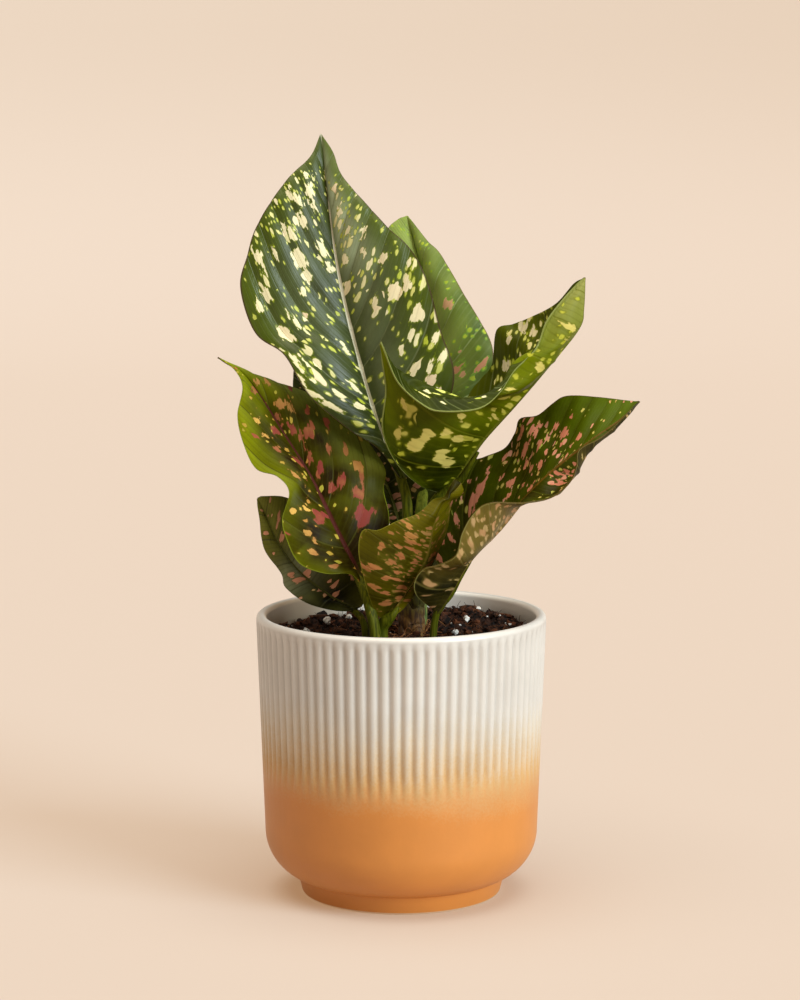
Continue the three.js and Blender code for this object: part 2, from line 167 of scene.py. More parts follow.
def work_out(tree, operation, a, b=0.0, clamp=False):
    """The result of one sum between two values."""
    return add_node(tree, "ShaderNodeMath", {0: a, 1: b}, operation=operation, use_clamp=clamp).outputs[0]


def times(tree, a, b, clamp=False):
    """Two values multiplied."""
    return work_out(tree, "MULTIPLY", a, b, clamp)


def plus(tree, a, b, clamp=False):
    """Two values added."""
    return work_out(tree, "ADD", a, b, clamp)


def less(tree, a, b):
    """The second value taken from the first."""
    return work_out(tree, "SUBTRACT", a, b)


def vector_sum(tree, operation, sockets):
    """The result of one sum with a vector."""
    return add_node(tree, "ShaderNodeVectorMath", sockets, operation=operation).outputs


def fade(tree, value, start, end, low=0.0, high=1.0):
    """A soft step from low at start to high at end."""
    sockets = {"Value": value, "From Min": start, "From Max": end, "To Min": low, "To Max": high}
    return add_node(tree, "ShaderNodeMapRange", sockets, interpolation_type="SMOOTHSTEP").outputs[0]


def mix_colours(tree, share, under, over):
    """One colour laid over another by a share from 0 to 1."""
    return add_node(tree, "ShaderNodeMix", {0: share, 6: under, 7: over}, data_type="RGBA").outputs[2]


def noise_value(tree, vector, per_metre, detail=2.0):
    """A soft random value about 0.5, with a number of waves per metre."""
    sockets = {"Vector": vector, "Scale": per_metre, "Detail": detail}
    return add_node(tree, "ShaderNodeTexNoise", sockets).outputs["Fac"]


def painted(tree, name):
    """A value that the mesh carries under a name."""
    return add_node(tree, "ShaderNodeAttribute", attribute_name=name).outputs["Fac"]


def bumps(tree, height, strength, depth):
    """The normal of a fine relief, with its depth in metres."""
    sockets = {"Strength": strength, "Distance": depth, "Height": height}
    return add_node(tree, "ShaderNodeBump", sockets).outputs["Normal"]


def new_material(name):
    """A material's node tree, its Principled shader, the object's own coordinates and the material."""
    material = bpy.data.materials.new(name)
    material.use_nodes = True
    tree = material.node_tree
    place = tree.nodes.new("ShaderNodeTexCoord").outputs["Object"]
    return tree, tree.nodes["Principled BSDF"], place, material


def show_piece(name, bm, materials, slot, *nodes):
    """Turns a bmesh in mm into a piece of the object that stands for the CAD nodes named."""
    bmesh.ops.scale(bm, vec=(MM, MM, MM), verts=bm.verts)
    mesh = bpy.data.meshes.new(name)
    bm.to_mesh(mesh)
    bm.free()
    for material in materials:
        mesh.materials.append(material)
    piece = bpy.data.objects.new(name, mesh)
    bpy.context.scene.collection.objects.link(piece)
    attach(piece, "root")
    if nodes:
        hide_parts(*nodes)


belly_centre_radius = WALL_FOOT_RADIUS - BELLY_RADIUS
belly_centre_height = FOOT_HEIGHT - BELLY_RADIUS * math.sin(math.radians(BELLY_START_ANGLE))
wall_top = POT_HEIGHT - LIP_HEIGHT
lip_radius = WALL_THICKNESS / 2
inner_belly = BELLY_RADIUS - WALL_THICKNESS


def wall_radius(height):
    """Radius of the outside wall at a height above the belly."""
    share = (height - belly_centre_height) / (wall_top - belly_centre_height)
    return WALL_FOOT_RADIUS + (RIM_RADIUS - WALL_FOOT_RADIUS) * share


flute_heights = [FLUTE_BOTTOM + FLUTE_RUNOUT * i / FLUTE_RUNOUT_ROWS for i in range(FLUTE_RUNOUT_ROWS + 1)]
flute_heights += [FLUTE_BOTTOM + FLUTE_RUNOUT + FLUTE_ROW_GAP * i for i in range(1, 4)]
flute_heights += [FLUTE_TOP - FLUTE_TOP_ROUND * (1 - i / FLUTE_TOP_ROWS) for i in range(FLUTE_TOP_ROWS + 1)]
outline = [(0, 0)]
outline += [(FOOT_RADIUS + out, up) for out, up in FOOT_EDGE]
outline += [(FOOT_TOP_RADIUS + out, FOOT_HEIGHT + up) for out, up in FOOT_SHOULDER]
start_angle = BELLY_START_ANGLE + HIDDEN_BY_SHOULDER
outline += arc(belly_centre_radius, belly_centre_height, BELLY_RADIUS, start_angle, 0, BELLY_STEPS)
outline += [(wall_radius(h), h) for h in flute_heights if h < wall_top]
outline += arc(RIM_RADIUS - lip_radius, POT_HEIGHT - lip_radius, lip_radius, 0, 180, LIP_STEPS)
outline += [(wall_radius(h) - WALL_THICKNESS, h) for h in INNER_WALL_HEIGHTS]
outline += arc(belly_centre_radius, FLOOR_THICKNESS + inner_belly, inner_belly, 0, -90, INNER_BELLY_STEPS)
outline += [(0, FLOOR_THICKNESS)]

bm = bmesh.new()
profile = [bm.verts.new((radius, 0, height)) for radius, height in outline]
edges = [bm.edges.new(pair) for pair in zip(profile, profile[1:])]
sector_angle = 2 * math.pi / POT_SECTORS
bmesh.ops.spin(
    bm, geom=profile + edges, axis=(0, 0, 1), cent=(0, 0, 0), angle=sector_angle,
    steps=FLUTE_COUNT * FLUTE_STEPS // POT_SECTORS,
)
sector = bm.verts[:] + bm.edges[:] + bm.faces[:]
for k in range(1, POT_SECTORS):
    copied = bmesh.ops.duplicate(bm, geom=sector)["geom"]
    turned = [g for g in copied if isinstance(g, bmesh.types.BMVert)]
    bmesh.ops.rotate(bm, cent=(0, 0, 0), matrix=Matrix.Rotation(k * sector_angle, 3, "Z"), verts=turned)
bmesh.ops.remove_doubles(bm, verts=bm.verts, dist=0.001)
groove_layer = bm.verts.layers.float.new("groove")
for vert in bm.verts:
    radius = math.hypot(vert.co.x, vert.co.y)
    height = vert.co.z
    vert[groove_layer] = BELOW_FLUTES
    if FLUTE_BOTTOM < height < FLUTE_TOP and radius > wall_radius(height) - NEAR_OUTSIDE:
        across = (math.atan2(vert.co.y, vert.co.x) / (2 * math.pi) * FLUTE_COUNT) % 1
        run_in = min(1, (height - FLUTE_BOTTOM) / FLUTE_RUNOUT)
        run_out = min(1, (FLUTE_TOP - height) / FLUTE_TOP_ROUND)
        hollow = (0.5 + 0.5 * math.cos(2 * math.pi * across)) ** FLUTE_SHARPNESS
        share = run_in ** FLUTE_RUNOUT_EASE * math.sqrt(1 - (1 - run_out) ** 2) * hollow
        vert[groove_layer] = BELOW_FLUTES + (abs(2 * across - 1) - BELOW_FLUTES) * run_in
        scale = (radius - FLUTE_DEPTH * share) / radius
        vert.co.x *= scale
        vert.co.y *= scale
face_outwards(bm, smooth=True)

# The glaze's level says how far up the fade a place lies. The white has a few soft clouds and
# carries painted shade on the left and in the hollows, and a painted highlight on the lip.
tree, shader, place, glaze = new_material("sprayed_glaze")
sideways, _, height = add_node(tree, "ShaderNodeSeparateXYZ", {0: place}).outputs
groove = painted(tree, "groove")
drift = less(tree, noise_value(tree, place, DRIFT_WAVES, 3), 0.5)
mist = less(tree, noise_value(tree, place, MIST_WAVES, 2), 0.5)
level = plus(tree, height, times(tree, drift, DRIFT_HEIGHT))
level = plus(tree, level, times(tree, mist, MIST_HEIGHT))
level = less(tree, level, times(tree, groove, GROOVE_HEIGHT))
level = plus(tree, level, fade(tree, sideways, *RIGHT_SIDE, 0.0, RIGHT_DROP))
level = times(tree, less(tree, level, FADE_START), 1 / FADE_REACH, clamp=True)
ramp = add_node(tree, "ShaderNodeValToRGB", {0: level})
ramp.color_ramp.elements[0].color = tint(GLAZE_ORANGE)
ramp.color_ramp.elements[1].color = tint(GLAZE_WHITE)
for share, colour in GLAZE_BETWEEN:
    ramp.color_ramp.elements.new(share).color = tint(colour)
clouds_and_painted_light = fade(tree, noise_value(tree, place, CLOUD_WAVES, 3), 0.3, 0.7, *CLOUD_CONTRAST)
# Painted shade: the white is darkened towards the left, the side away from the key light.
clouds_and_painted_light = times(tree, clouds_and_painted_light, fade(tree, sideways, *LEFT_SIDE, LEFT_PAINTED_SHADE, 1.0))
# Painted light: the lip is whitened where light falls on its top.
clouds_and_painted_light = times(tree, clouds_and_painted_light, fade(tree, height, *LIP_HEIGHTS, 1.0, LIP_PAINTED_LIGHT))
# Painted shade in the hollows of the flutes, fading in above their lower part.
painted_hollow_shade = fade(tree, groove, 0.55, 1.0, 0.0, HOLLOW_PAINTED_SHADE)
clouds_and_painted_light = less(tree, clouds_and_painted_light, times(tree, painted_hollow_shade, fade(tree, height, *HOLLOW_HEIGHTS)))
glazed = vector_sum(tree, "SCALE", {0: ramp.outputs[0], "Scale": clouds_and_painted_light})[0]
flat_place = vector_sum(tree, "MULTIPLY", {0: place, 1: (1, 1, 0)})[0]
from_axis = vector_sum(tree, "LENGTH", {0: flat_place})["Value"]
inside_pot = times(tree, fade(tree, from_axis, *INNER_RADII), fade(tree, height, *INNER_HEIGHTS))
# Painted shade: the inner wall turns darker towards the left, while the right stays bright.
left_painted_shade_share = fade(tree, sideways, LEFT_SIDE[0], 0.0)
inner = mix_colours(tree, left_painted_shade_share, tint(INNER_GLAZE_PAINTED_SHADE), tint(INNER_GLAZE))
glazed = mix_colours(tree, inside_pot, glazed, inner)
set_sockets(tree, shader, {
    "Base Color": mix_colours(tree, fade(tree, height, *BISQUE_HEIGHTS), glazed, tint(BISQUE)),
    "Roughness": fade(tree, level, 0.1, 0.7, *GLAZE_ROUGHNESS),
    "Normal": bumps(tree, noise_value(tree, place, PIT_WAVES, 2), 0.12, 0.0004),
    "Coat Weight": GLAZE_COAT,
    "Coat Roughness": GLAZE_COAT_ROUGHNESS,
})
show_piece("glazed_pot", bm, [glaze], "glazed_pot", "pot")

# Soil: loose potting mix of peat, bark and coir that fills the pot to about 10 mm below the rim.
# Its surface is lumpy, is heaped at the back on the right, and drops a little towards the wall.
SOIL_LEVEL = 126.3
SOIL_BOTTOM = 112
SOIL_STEPS = 150
SOIL_REACH = 65.6
SOIL_LUMPS = [(11, 2.4), (4.6, 2.4), (2.0, 2.2)]
SOIL_HEAP = (38, 30, 26, 4.5)
SOIL_EDGE = 54
SOIL_EDGE_DROP = 2.5
SOIL_DARK = "#0d0806"
SOIL_BROWN = "#3a2114"
SOIL_WAVES = 300
CRUMBLY_SHINE = 0.25
soil_random = random.Random(4)


def soil_height(x, y):
    """Height of the soil's surface at a place in the pot."""
    lumps = sum(depth * noise.noise(Vector((x / size, y / size, size))) for size, depth in SOIL_LUMPS)
    heap_x, heap_y, heap_size, heap_height = SOIL_HEAP
    heap = heap_height * math.exp(-((x - heap_x) ** 2 + (y - heap_y) ** 2) / heap_size ** 2)
    drop = SOIL_EDGE_DROP * max(0, (math.hypot(x, y) - SOIL_EDGE) / (SOIL_REACH - SOIL_EDGE)) ** 2
    return SOIL_LEVEL + lumps + heap - drop


bm = bmesh.new()
bmesh.ops.create_grid(bm, x_segments=SOIL_STEPS, y_segments=SOIL_STEPS, size=SOIL_REACH)
outside = [v for v in bm.verts if math.hypot(v.co.x, v.co.y) > SOIL_REACH]
bmesh.ops.delete(bm, geom=outside, context="VERTS")
top_faces = bm.faces[:]
slab = bmesh.ops.extrude_face_region(bm, geom=top_faces, use_keep_orig=True)
lower = {v for v in slab["geom"] if isinstance(v, bmesh.types.BMVert)}
for vert in bm.verts:
    vert.co.z = SOIL_BOTTOM if vert in lower else soil_height(vert.co.x, vert.co.y)
face_outwards(bm)


def crumbly(name, dark, light, waves, roughness=0.95):
    """A rough mottled material for what lies in the pot, with its patches as waves per metre."""
    tree, shader, place, material = new_material(name)
    patches = fade(tree, noise_value(tree, place, waves, 5), 0.35, 0.68)
    set_sockets(tree, shader, {
        "Base Color": mix_colours(tree, patches, tint(dark), tint(light)),
        "Roughness": roughness,
        "Normal": bumps(tree, noise_value(tree, place, waves * 4, 4), 0.7, 0.0006),
        "Specular IOR Level": CRUMBLY_SHINE,
    })
    return material


peat = crumbly("peat", SOIL_DARK, SOIL_BROWN, SOIL_WAVES)
show_piece("soil_surface", bm, [peat], "soil", "soil")

# Crumbs, bark chips and perlite: what lies loose on top of the soil. The crumbs are rounded peat,
# the chips are flat pieces of bark, and the white grains are perlite of up to 4 mm.
CRUMB_COUNT = 1300
CRUMB_REACH = 61
CRUMB_SIZES = (0.4, 2.6)
CRUMB_RUST = "#5c321a"
CHIP_COUNT = 190
CHIP_REACH = 58
CHIP_SIZES = (1.4, 4.2)
CHIP_COLOURS = ("#21120a", "#5c3820")
BIG_GRAINS = [(-36, 15), (-26, 32), (26, -14), (32, -25), (-46, -4), (38, 43), (32, 15), (-28, -22)]
BIG_GRAIN_SIZES = (1.5, 2.3)
SMALL_GRAIN_COUNT = 110
SMALL_GRAIN_REACH = 60
SMALL_GRAIN_SIZES = (0.25, 0.8)
PERLITE_COLOURS = ("#dfd8cc", "#fbf8f2")
LARGEST_TILT = 0.9
LUMP_WAVES = 1.3


def place_in_pot(reach):
    """A random place on the soil, even over its area."""
    angle = soil_random.uniform(0, 2 * math.pi)
    distance = reach * math.sqrt(soil_random.random())
    return distance * math.cos(angle), distance * math.sin(angle)


def add_lump(bm, x, y, size, flatness, detail, roughness, sink=0.3):
    """One crumb, chip or grain, turned at random and pressed a little into the soil."""
    turn = Matrix.Rotation(soil_random.uniform(0, 6.3), 4, "Z")
    turn = turn @ Matrix.Rotation(soil_random.uniform(-LARGEST_TILT, LARGEST_TILT), 4, "X")
    squash = Matrix.Diagonal((*flatness, 1))
    height = soil_height(x, y) + size * flatness[2] * (1 - 2 * sink)
    matrix = Matrix.Translation((x, y, height)) @ turn @ squash
    lump = bmesh.ops.create_icosphere(bm, subdivisions=detail, radius=size, matrix=matrix)["verts"]
    middle = Vector((x, y, height))
    for vert in lump:
        bump = noise.noise(vert.co * (LUMP_WAVES / size) + Vector((x, y, 0)))
        vert.co += (vert.co - middle) * bump * roughness


bm = bmesh.new()
for _ in range(CRUMB_COUNT):
    x, y = place_in_pot(CRUMB_REACH)
    size = CRUMB_SIZES[0] + CRUMB_SIZES[1] * soil_random.random() ** 4
    add_lump(bm, x, y, size, (1, soil_random.uniform(0.6, 1), soil_random.uniform(0.5, 0.9)), 1, 1.1)
show_piece("soil_crumbs", bm, [crumbly("crumbs", SOIL_DARK, CRUMB_RUST, 180)], "soil")

bm = bmesh.new()
for _ in range(CHIP_COUNT):
    x, y = place_in_pot(CHIP_REACH)
    size = CHIP_SIZES[0] + CHIP_SIZES[1] * soil_random.random() ** 2
    add_lump(bm, x, y, size, (1, soil_random.uniform(0.3, 0.6), 0.22), 1, 0.7, sink=0.1)
show_piece("bark_chips", bm, [crumbly("bark", *CHIP_COLOURS, 500)], "soil")

bm = bmesh.new()
for x, y in BIG_GRAINS:
    add_lump(bm, x, y, soil_random.uniform(*BIG_GRAIN_SIZES), (1, 0.85, 0.8), 2, 0.9, sink=-0.1)
for _ in range(SMALL_GRAIN_COUNT):
    x, y = place_in_pot(SMALL_GRAIN_REACH)
    add_lump(bm, x, y, soil_random.uniform(*SMALL_GRAIN_SIZES), (1, 0.8, 0.8), 1, 0.8, sink=0.1)
show_piece("perlite", bm, [crumbly("perlite", *PERLITE_COLOURS, 900, 0.8)], "soil")

# Coir, twigs and roots: thin brown fibres that lie on the soil, short ends of peat that stick up out
# of it, and paler roots that curl at the cane's foot. Each is a slim bent thread.
CANE_CENTRE = (5, -4)
THREAD_SIDES = 4
THREAD_STEPS = 7
THREAD_POINTS = 5
THREAD_WANDER = 0.6
THREAD_TAPER = 0.5
LINE_STEPS = 16
FIBRE_COUNT = 170
FIBRE_REACH = 50
FIBRE_LENGTHS = (5, 13)
FIBRE_THICKNESS = 0.16
FIBRE_LIFTS = (0, 2.5)
FIBRE_COLOURS = ("#2d170d", "#7a4a28")
TWIG_COUNT = 520
TWIG_REACH = 60
TWIG_LENGTHS = (1.5, 5.5)
TWIG_LEAN = 0.7
TWIG_THICKNESS = 0.2
TWIG_SINK = 0.6
TWIG_COLOURS = ("#1c0e07", "#5a3218")
ROOT_COUNT = 24
ROOT_RING = 5.6
ROOT_LENGTHS = (8, 18)
ROOT_THICKNESS = 0.23
ROOT_LIFTS = (0.6, 5.5)
ROOT_COLOURS = ("#5e3515", "#a8703f")
CHANNEL_WIDTH = 0.55


def even_points(points, count):
    """Points at even steps along the smooth line through the points given, ends included."""
    knots = [Vector(p) for p in points]
    knots = [2 * knots[0] - knots[1], *knots, 2 * knots[-1] - knots[-2]]
    line = []
    for a, b, c, d in zip(knots, knots[1:], knots[2:], knots[3:]):
        for k in range(LINE_STEPS):
            t = k / LINE_STEPS
            bend = (2 * a - 5 * b + 4 * c - d) * t * t + (3 * b - a - 3 * c + d) * t ** 3
            line.append((2 * b + (c - a) * t + bend) / 2)
    line.append(knots[-2])
    lengths = [0.0]
    for a, b in zip(line, line[1:]):
        lengths.append(lengths[-1] + (b - a).length)
    even = []
    k = 0
    for i in range(count + 1):
        target = lengths[-1] * i / count
        while k < len(line) - 2 and lengths[k + 1] < target:
            k += 1
        even.append(line[k].lerp(line[k + 1], (target - lengths[k]) / (lengths[k + 1] - lengths[k])))
    return even


def grow_stem(bm, centres, radius_at, sides, inner_side=Vector((0, 0, 1)), channel=0.0):
    """A stem extruded ring by ring along its centres, with a shallow channel on its inner side."""
    spoke = bm.verts.layers.int.get("spoke") or bm.verts.layers.int.new("spoke")
    ring = bmesh.ops.create_circle(bm, segments=sides)["verts"]
    for k, vert in enumerate(ring):
        vert[spoke] = k
    edges = list({e for v in ring for e in v.link_edges})
    ends = [edges]
    for i, centre in enumerate(centres):
        if i:
            grown = bmesh.ops.extrude_edge_only(bm, edges=edges)["geom"]
            ring = [g for g in grown if isinstance(g, bmesh.types.BMVert)]
            edges = [g for g in grown if isinstance(g, bmesh.types.BMEdge)]
        ahead = (centres[min(i + 1, len(centres) - 1)] - centres[max(i - 1, 0)]).normalized()
        front = (inner_side - ahead * inner_side.dot(ahead)).normalized()
        side = ahead.cross(front)
        radius = radius_at(i / (len(centres) - 1))
        for vert in ring:
            angle = 2 * math.pi * vert[spoke] / sides
            turned = (angle + math.pi) % (2 * math.pi) - math.pi
            dent = 1 - channel * math.exp(-(turned / CHANNEL_WIDTH) ** 2)
            vert.co = centre + (front * math.cos(angle) + side * math.sin(angle)) * radius * dent
    ends.append(edges)
    for end in ends:
        bmesh.ops.contextual_create(bm, geom=end)


def draw_thread(bm, points, steps, thickness):
    """A thread along the points given, that thins towards its end."""
    grow_stem(
        bm, even_points(points, steps), lambda share: thickness * (1 - THREAD_TAPER * share),
        THREAD_SIDES,
    )


def lay_thread(bm, start, heading, lengths, thickness, lifts):
    """A thin fibre from a place on the soil, that wanders a little and stays near the surface."""
    x, y = start
    length = soil_random.uniform(*lengths)
    lift = soil_random.uniform(*lifts)
    points = []
    for k in range(THREAD_POINTS):
        rise = lift * math.sin(math.pi * k / (THREAD_POINTS - 1)) + thickness
        points.append((x, y, soil_height(x, y) + rise))
        heading += soil_random.uniform(-THREAD_WANDER, THREAD_WANDER)
        x += math.cos(heading) * length / (THREAD_POINTS - 1)
        y += math.sin(heading) * length / (THREAD_POINTS - 1)
    draw_thread(bm, points, THREAD_STEPS, thickness)


bm = bmesh.new()
for _ in range(FIBRE_COUNT):
    start = place_in_pot(FIBRE_REACH)
    lay_thread(bm, start, soil_random.uniform(0, 6.3), FIBRE_LENGTHS, FIBRE_THICKNESS, FIBRE_LIFTS)
face_outwards(bm)
show_piece("coir_fibres", bm, [crumbly("coir", *FIBRE_COLOURS, 260)], "soil")

bm = bmesh.new()
for _ in range(TWIG_COUNT):
    x, y = place_in_pot(TWIG_REACH)
    length = soil_random.uniform(*TWIG_LENGTHS)
    lean_x = soil_random.uniform(-TWIG_LEAN, TWIG_LEAN) * length
    lean_y = soil_random.uniform(-TWIG_LEAN, TWIG_LEAN) * length
    foot = Vector((x, y, soil_height(x, y) - TWIG_SINK))
    bend = foot + Vector((lean_x * 0.3, lean_y * 0.3, length * 0.6))
    draw_thread(bm, [foot, bend, foot + Vector((lean_x, lean_y, length))], 3, TWIG_THICKNESS)
face_outwards(bm)
show_piece("peat_twigs", bm, [crumbly("twigs", *TWIG_COLOURS, 260)], "soil")

bm = bmesh.new()
for k in range(ROOT_COUNT):
    angle = 2 * math.pi * k / ROOT_COUNT + soil_random.uniform(-0.2, 0.2)
    start = (CANE_CENTRE[0] + ROOT_RING * math.cos(angle), CANE_CENTRE[1] + ROOT_RING * math.sin(angle))
    lay_thread(bm, start, angle + soil_random.uniform(-0.7, 0.7), ROOT_LENGTHS, ROOT_THICKNESS, ROOT_LIFTS)
face_outwards(bm)
show_piece("surface_roots", bm, [crumbly("roots", *ROOT_COLOURS, 300, 0.7)], "soil")

# Cane: the stubby stem, brown and corky below, greener above, ringed by the scars of old leaves.
# The stalks of the four back leaves stand in its crown.
CANE_FOOT = 112
CANE_TOP = 158
CANE_RADIUS = 6.4
CROWN_RADIUS = 7.6
CROWN_START = 145
CROWN_ROUNDING = 1.2
SCAR_HEIGHTS = [131, 136, 141]
SCAR_SHAPE = [(0, -1.2), (-0.2, -0.4), (-0.5, 0), (0, 0.8)]
CANE_STEPS = 48
CANE_UNEVENNESS = 0.04
BARK_COLOURS = ("#3c2408", "#714c14")
GREEN_BARK_COLOURS = ("#3c4010", "#5c5a1a")
BARK_GREENS_OVER = (0.136, 0.148)


def turn_outline(outline, steps, merge_distance):
    """A shape turned on the upright axis, from its outline in radius and height."""
    bm = bmesh.new()
    profile = [bm.verts.new((radius, 0, height)) for radius, height in outline]
    edges = [bm.edges.new(pair) for pair in zip(profile, profile[1:])]
    bmesh.ops.spin(
        bm, geom=profile + edges, axis=(0, 0, 1), cent=(0, 0, 0), angle=2 * math.pi, steps=steps,
        use_merge=True,
    )
    bmesh.ops.remove_doubles(bm, verts=bm.verts, dist=merge_distance)
    return bm


def upright_streaks(tree, place, squeeze, waves, detail, start, end):
    """Streaks that run upwards, because the pattern's height is squeezed."""
    drawn_out = add_node(tree, "ShaderNodeMapping", {"Vector": place, "Scale": (1, 1, squeeze)}).outputs[0]
    return fade(tree, noise_value(tree, drawn_out, waves, detail), start, end)


outline = [(0, CANE_FOOT), (CANE_RADIUS, CANE_FOOT)]
for scar in SCAR_HEIGHTS:
    outline += [(CANE_RADIUS + out, scar + up) for out, up in SCAR_SHAPE]
outline += [(CROWN_RADIUS, CROWN_START + 1), (CROWN_RADIUS, CANE_TOP - CROWN_ROUNDING)]
outline += [(CROWN_RADIUS - CROWN_ROUNDING, CANE_TOP), (0, CANE_TOP)]
bm = turn_outline(outline, CANE_STEPS, 0.001)
for vert in bm.verts:
    if vert.co.xy.length > 1:
        vert.co *= 1 + CANE_UNEVENNESS * noise.noise(vert.co * 0.25)
bmesh.ops.translate(bm, vec=(*CANE_CENTRE, 0), verts=bm.verts)
face_outwards(bm, smooth=True)
tree, shader, place, cork = new_material("cane_bark")
height = add_node(tree, "ShaderNodeSeparateXYZ", {0: place}).outputs["Z"]
streaks = upright_streaks(tree, place, 0.2, 900, 4, 0.35, 0.65)
bark_colour, green_colour = [
    mix_colours(tree, streaks, tint(dark), tint(light)) for dark, light in (BARK_COLOURS, GREEN_BARK_COLOURS)
]
rising = plus(tree, height, times(tree, streaks, 0.004))
set_sockets(tree, shader, {
    "Base Color": mix_colours(tree, fade(tree, rising, *BARK_GREENS_OVER), bark_colour, green_colour),
    "Roughness": 0.7,
    "Normal": bumps(tree, streaks, 0.3, 0.0004),
})
show_piece("cane_stem", bm, [cork], "cane", "cane")

# Spear: the newest leaf, still rolled tight into a slim point, with the rolled edge as a groove.
SPEAR_FOOT = (11, 8)
SPEAR_BOTTOM = 112
SPEAR_TOP = 165.5
SPEAR_RADIUS = 1.7
SPEAR_STEPS = 30
SPEAR_SIDES = 20
SPEAR_TAPER = 2.2
SPEAR_GROOVE_SIDE = Vector((-0.6, -1, 0))
SPEAR_GROOVE = 0.22
SPEAR_COLOURS = ("#35480f", "#7d8a44")
bm = bmesh.new()
heights = [SPEAR_BOTTOM + (SPEAR_TOP - SPEAR_BOTTOM) * k / SPEAR_STEPS for k in range(SPEAR_STEPS + 1)]
grow_stem(
    bm, [Vector((*SPEAR_FOOT, height)) for height in heights],
    lambda share: SPEAR_RADIUS * min(1, SPEAR_TAPER * (1.01 - share)),
    SPEAR_SIDES, SPEAR_GROOVE_SIDE, SPEAR_GROOVE,
)
face_outwards(bm, smooth=True)
tree, shader, place, rolled = new_material("rolled_leaf")
stripes = upright_streaks(tree, place, 0.12, 1400, 2, 0.4, 0.62)
set_sockets(tree, shader, {
    "Base Color": mix_colours(tree, stripes, *map(tint, SPEAR_COLOURS)),
    "Roughness": 0.45,
    "Normal": bumps(tree, stripes, 0.4, 0.0003),
})
show_piece("rolled_spear", bm, [rolled], "spear", "spear")

# Tallest leaf: a broad, nearly upright blade, puffed between its sunken side veins. Dark green with
# a grey satin sheen, partly from its gloss and partly painted, cream spots and lime dots, and a pale
# midrib. It grew as one piece with its stalk, from the crown of the cane. The other leaves grow by
# the same functions.
LEAF_STEP = 1.25
BLADE_THICKNESS = 0.7
KEEL_DEPTH = 1.6
KEEL_WIDTH = 1.6
CHANNEL_DEPTH = 0.35
RIB_CHANNEL_WIDTH = 1.1
TIP_HALF_WIDTH = 0.5
STALK_SIDES = 18
STALK_STEPS = 46
STALK_CHANNEL = 0.28
SHEATH_SWELL = 0.25
KEEL_SLIMMING = 0.75
FOLD_ROUNDING = 0.3
LIP_COLUMNS = 10
SWEEP_REACH = 40
DOME_FLATNESS = 2.4
MINOR_LOBES = 3
MINOR_LOBE_SHARE = 0.14
LOBE_MIDDLE = 0.6
RIGHT_SIDE_PATTERN = 400
MESH_VALUES = ("marks", "tone", "speckle", "shade", "painted_sheen", "gap")
FAR_FROM_MARKS = (-9.0, 0.0)
COMMON_GROWTH = {
    "sweep": (0.5, 0.5), "slant": 0, "keel": 0.22, "quilt": 0.8, "waves": 3, "ripple": 0.3,
    # Painted sheen: a grey or pale colour laid over the green where light shines on the blade; none unless a
    # leaf gives it.
    "painted_sheen": lambda along, across: 0.0,
}
COMMON_LOOK = {
    "gloss": 0.36, "shine": 0.5, "lobe": 0.15, "line": 0.45, "fine": 0.12, "faint": 0.10,
    "halo_strength": 0.55, "lip": False,
}


def past(value, limit):
    """How far a value lies past a limit, or nought."""
    return max(0, value - limit)


def share_of(value):
    """A value kept between 0 and 1."""
    return max(0, min(1, value))


def bell(value, middle, width):
    """A hump that is 1 at its middle and dies away over its width."""
    return math.exp(-((value - middle) / width) ** 2)


def rib_length(leaf):
    """Length of a blade's midrib in mm."""
    return sum((Vector(b) - Vector(a)).length for a, b in zip(leaf["midrib"], leaf["midrib"][1:]))


def grain_place(leaf, side, along, out):
    """Place in the pattern of side veins, in mm: the way along a vein, and where it leaves the rib.

    With z = out + along i, the lines of z - z z / 2 r are the veins and what crosses them squarely.
    They leave the rib at a slant that grows with the height, and bend towards the tip. A leaf's own
    slant, in degrees, turns them all further that way.
    """
    bend = leaf["sweep"][side] / SWEEP_REACH
    reach = out - bend * (out * out - along * along) / 2
    start = along * (1 - bend * out)
    slant = math.radians(leaf["slant"])
    turned_reach = reach * math.cos(slant) + start * math.sin(slant)
    turned_start = start * math.cos(slant) - reach * math.sin(slant)
    return turned_reach, turned_start, math.hypot(1 - bend * out, bend * along)


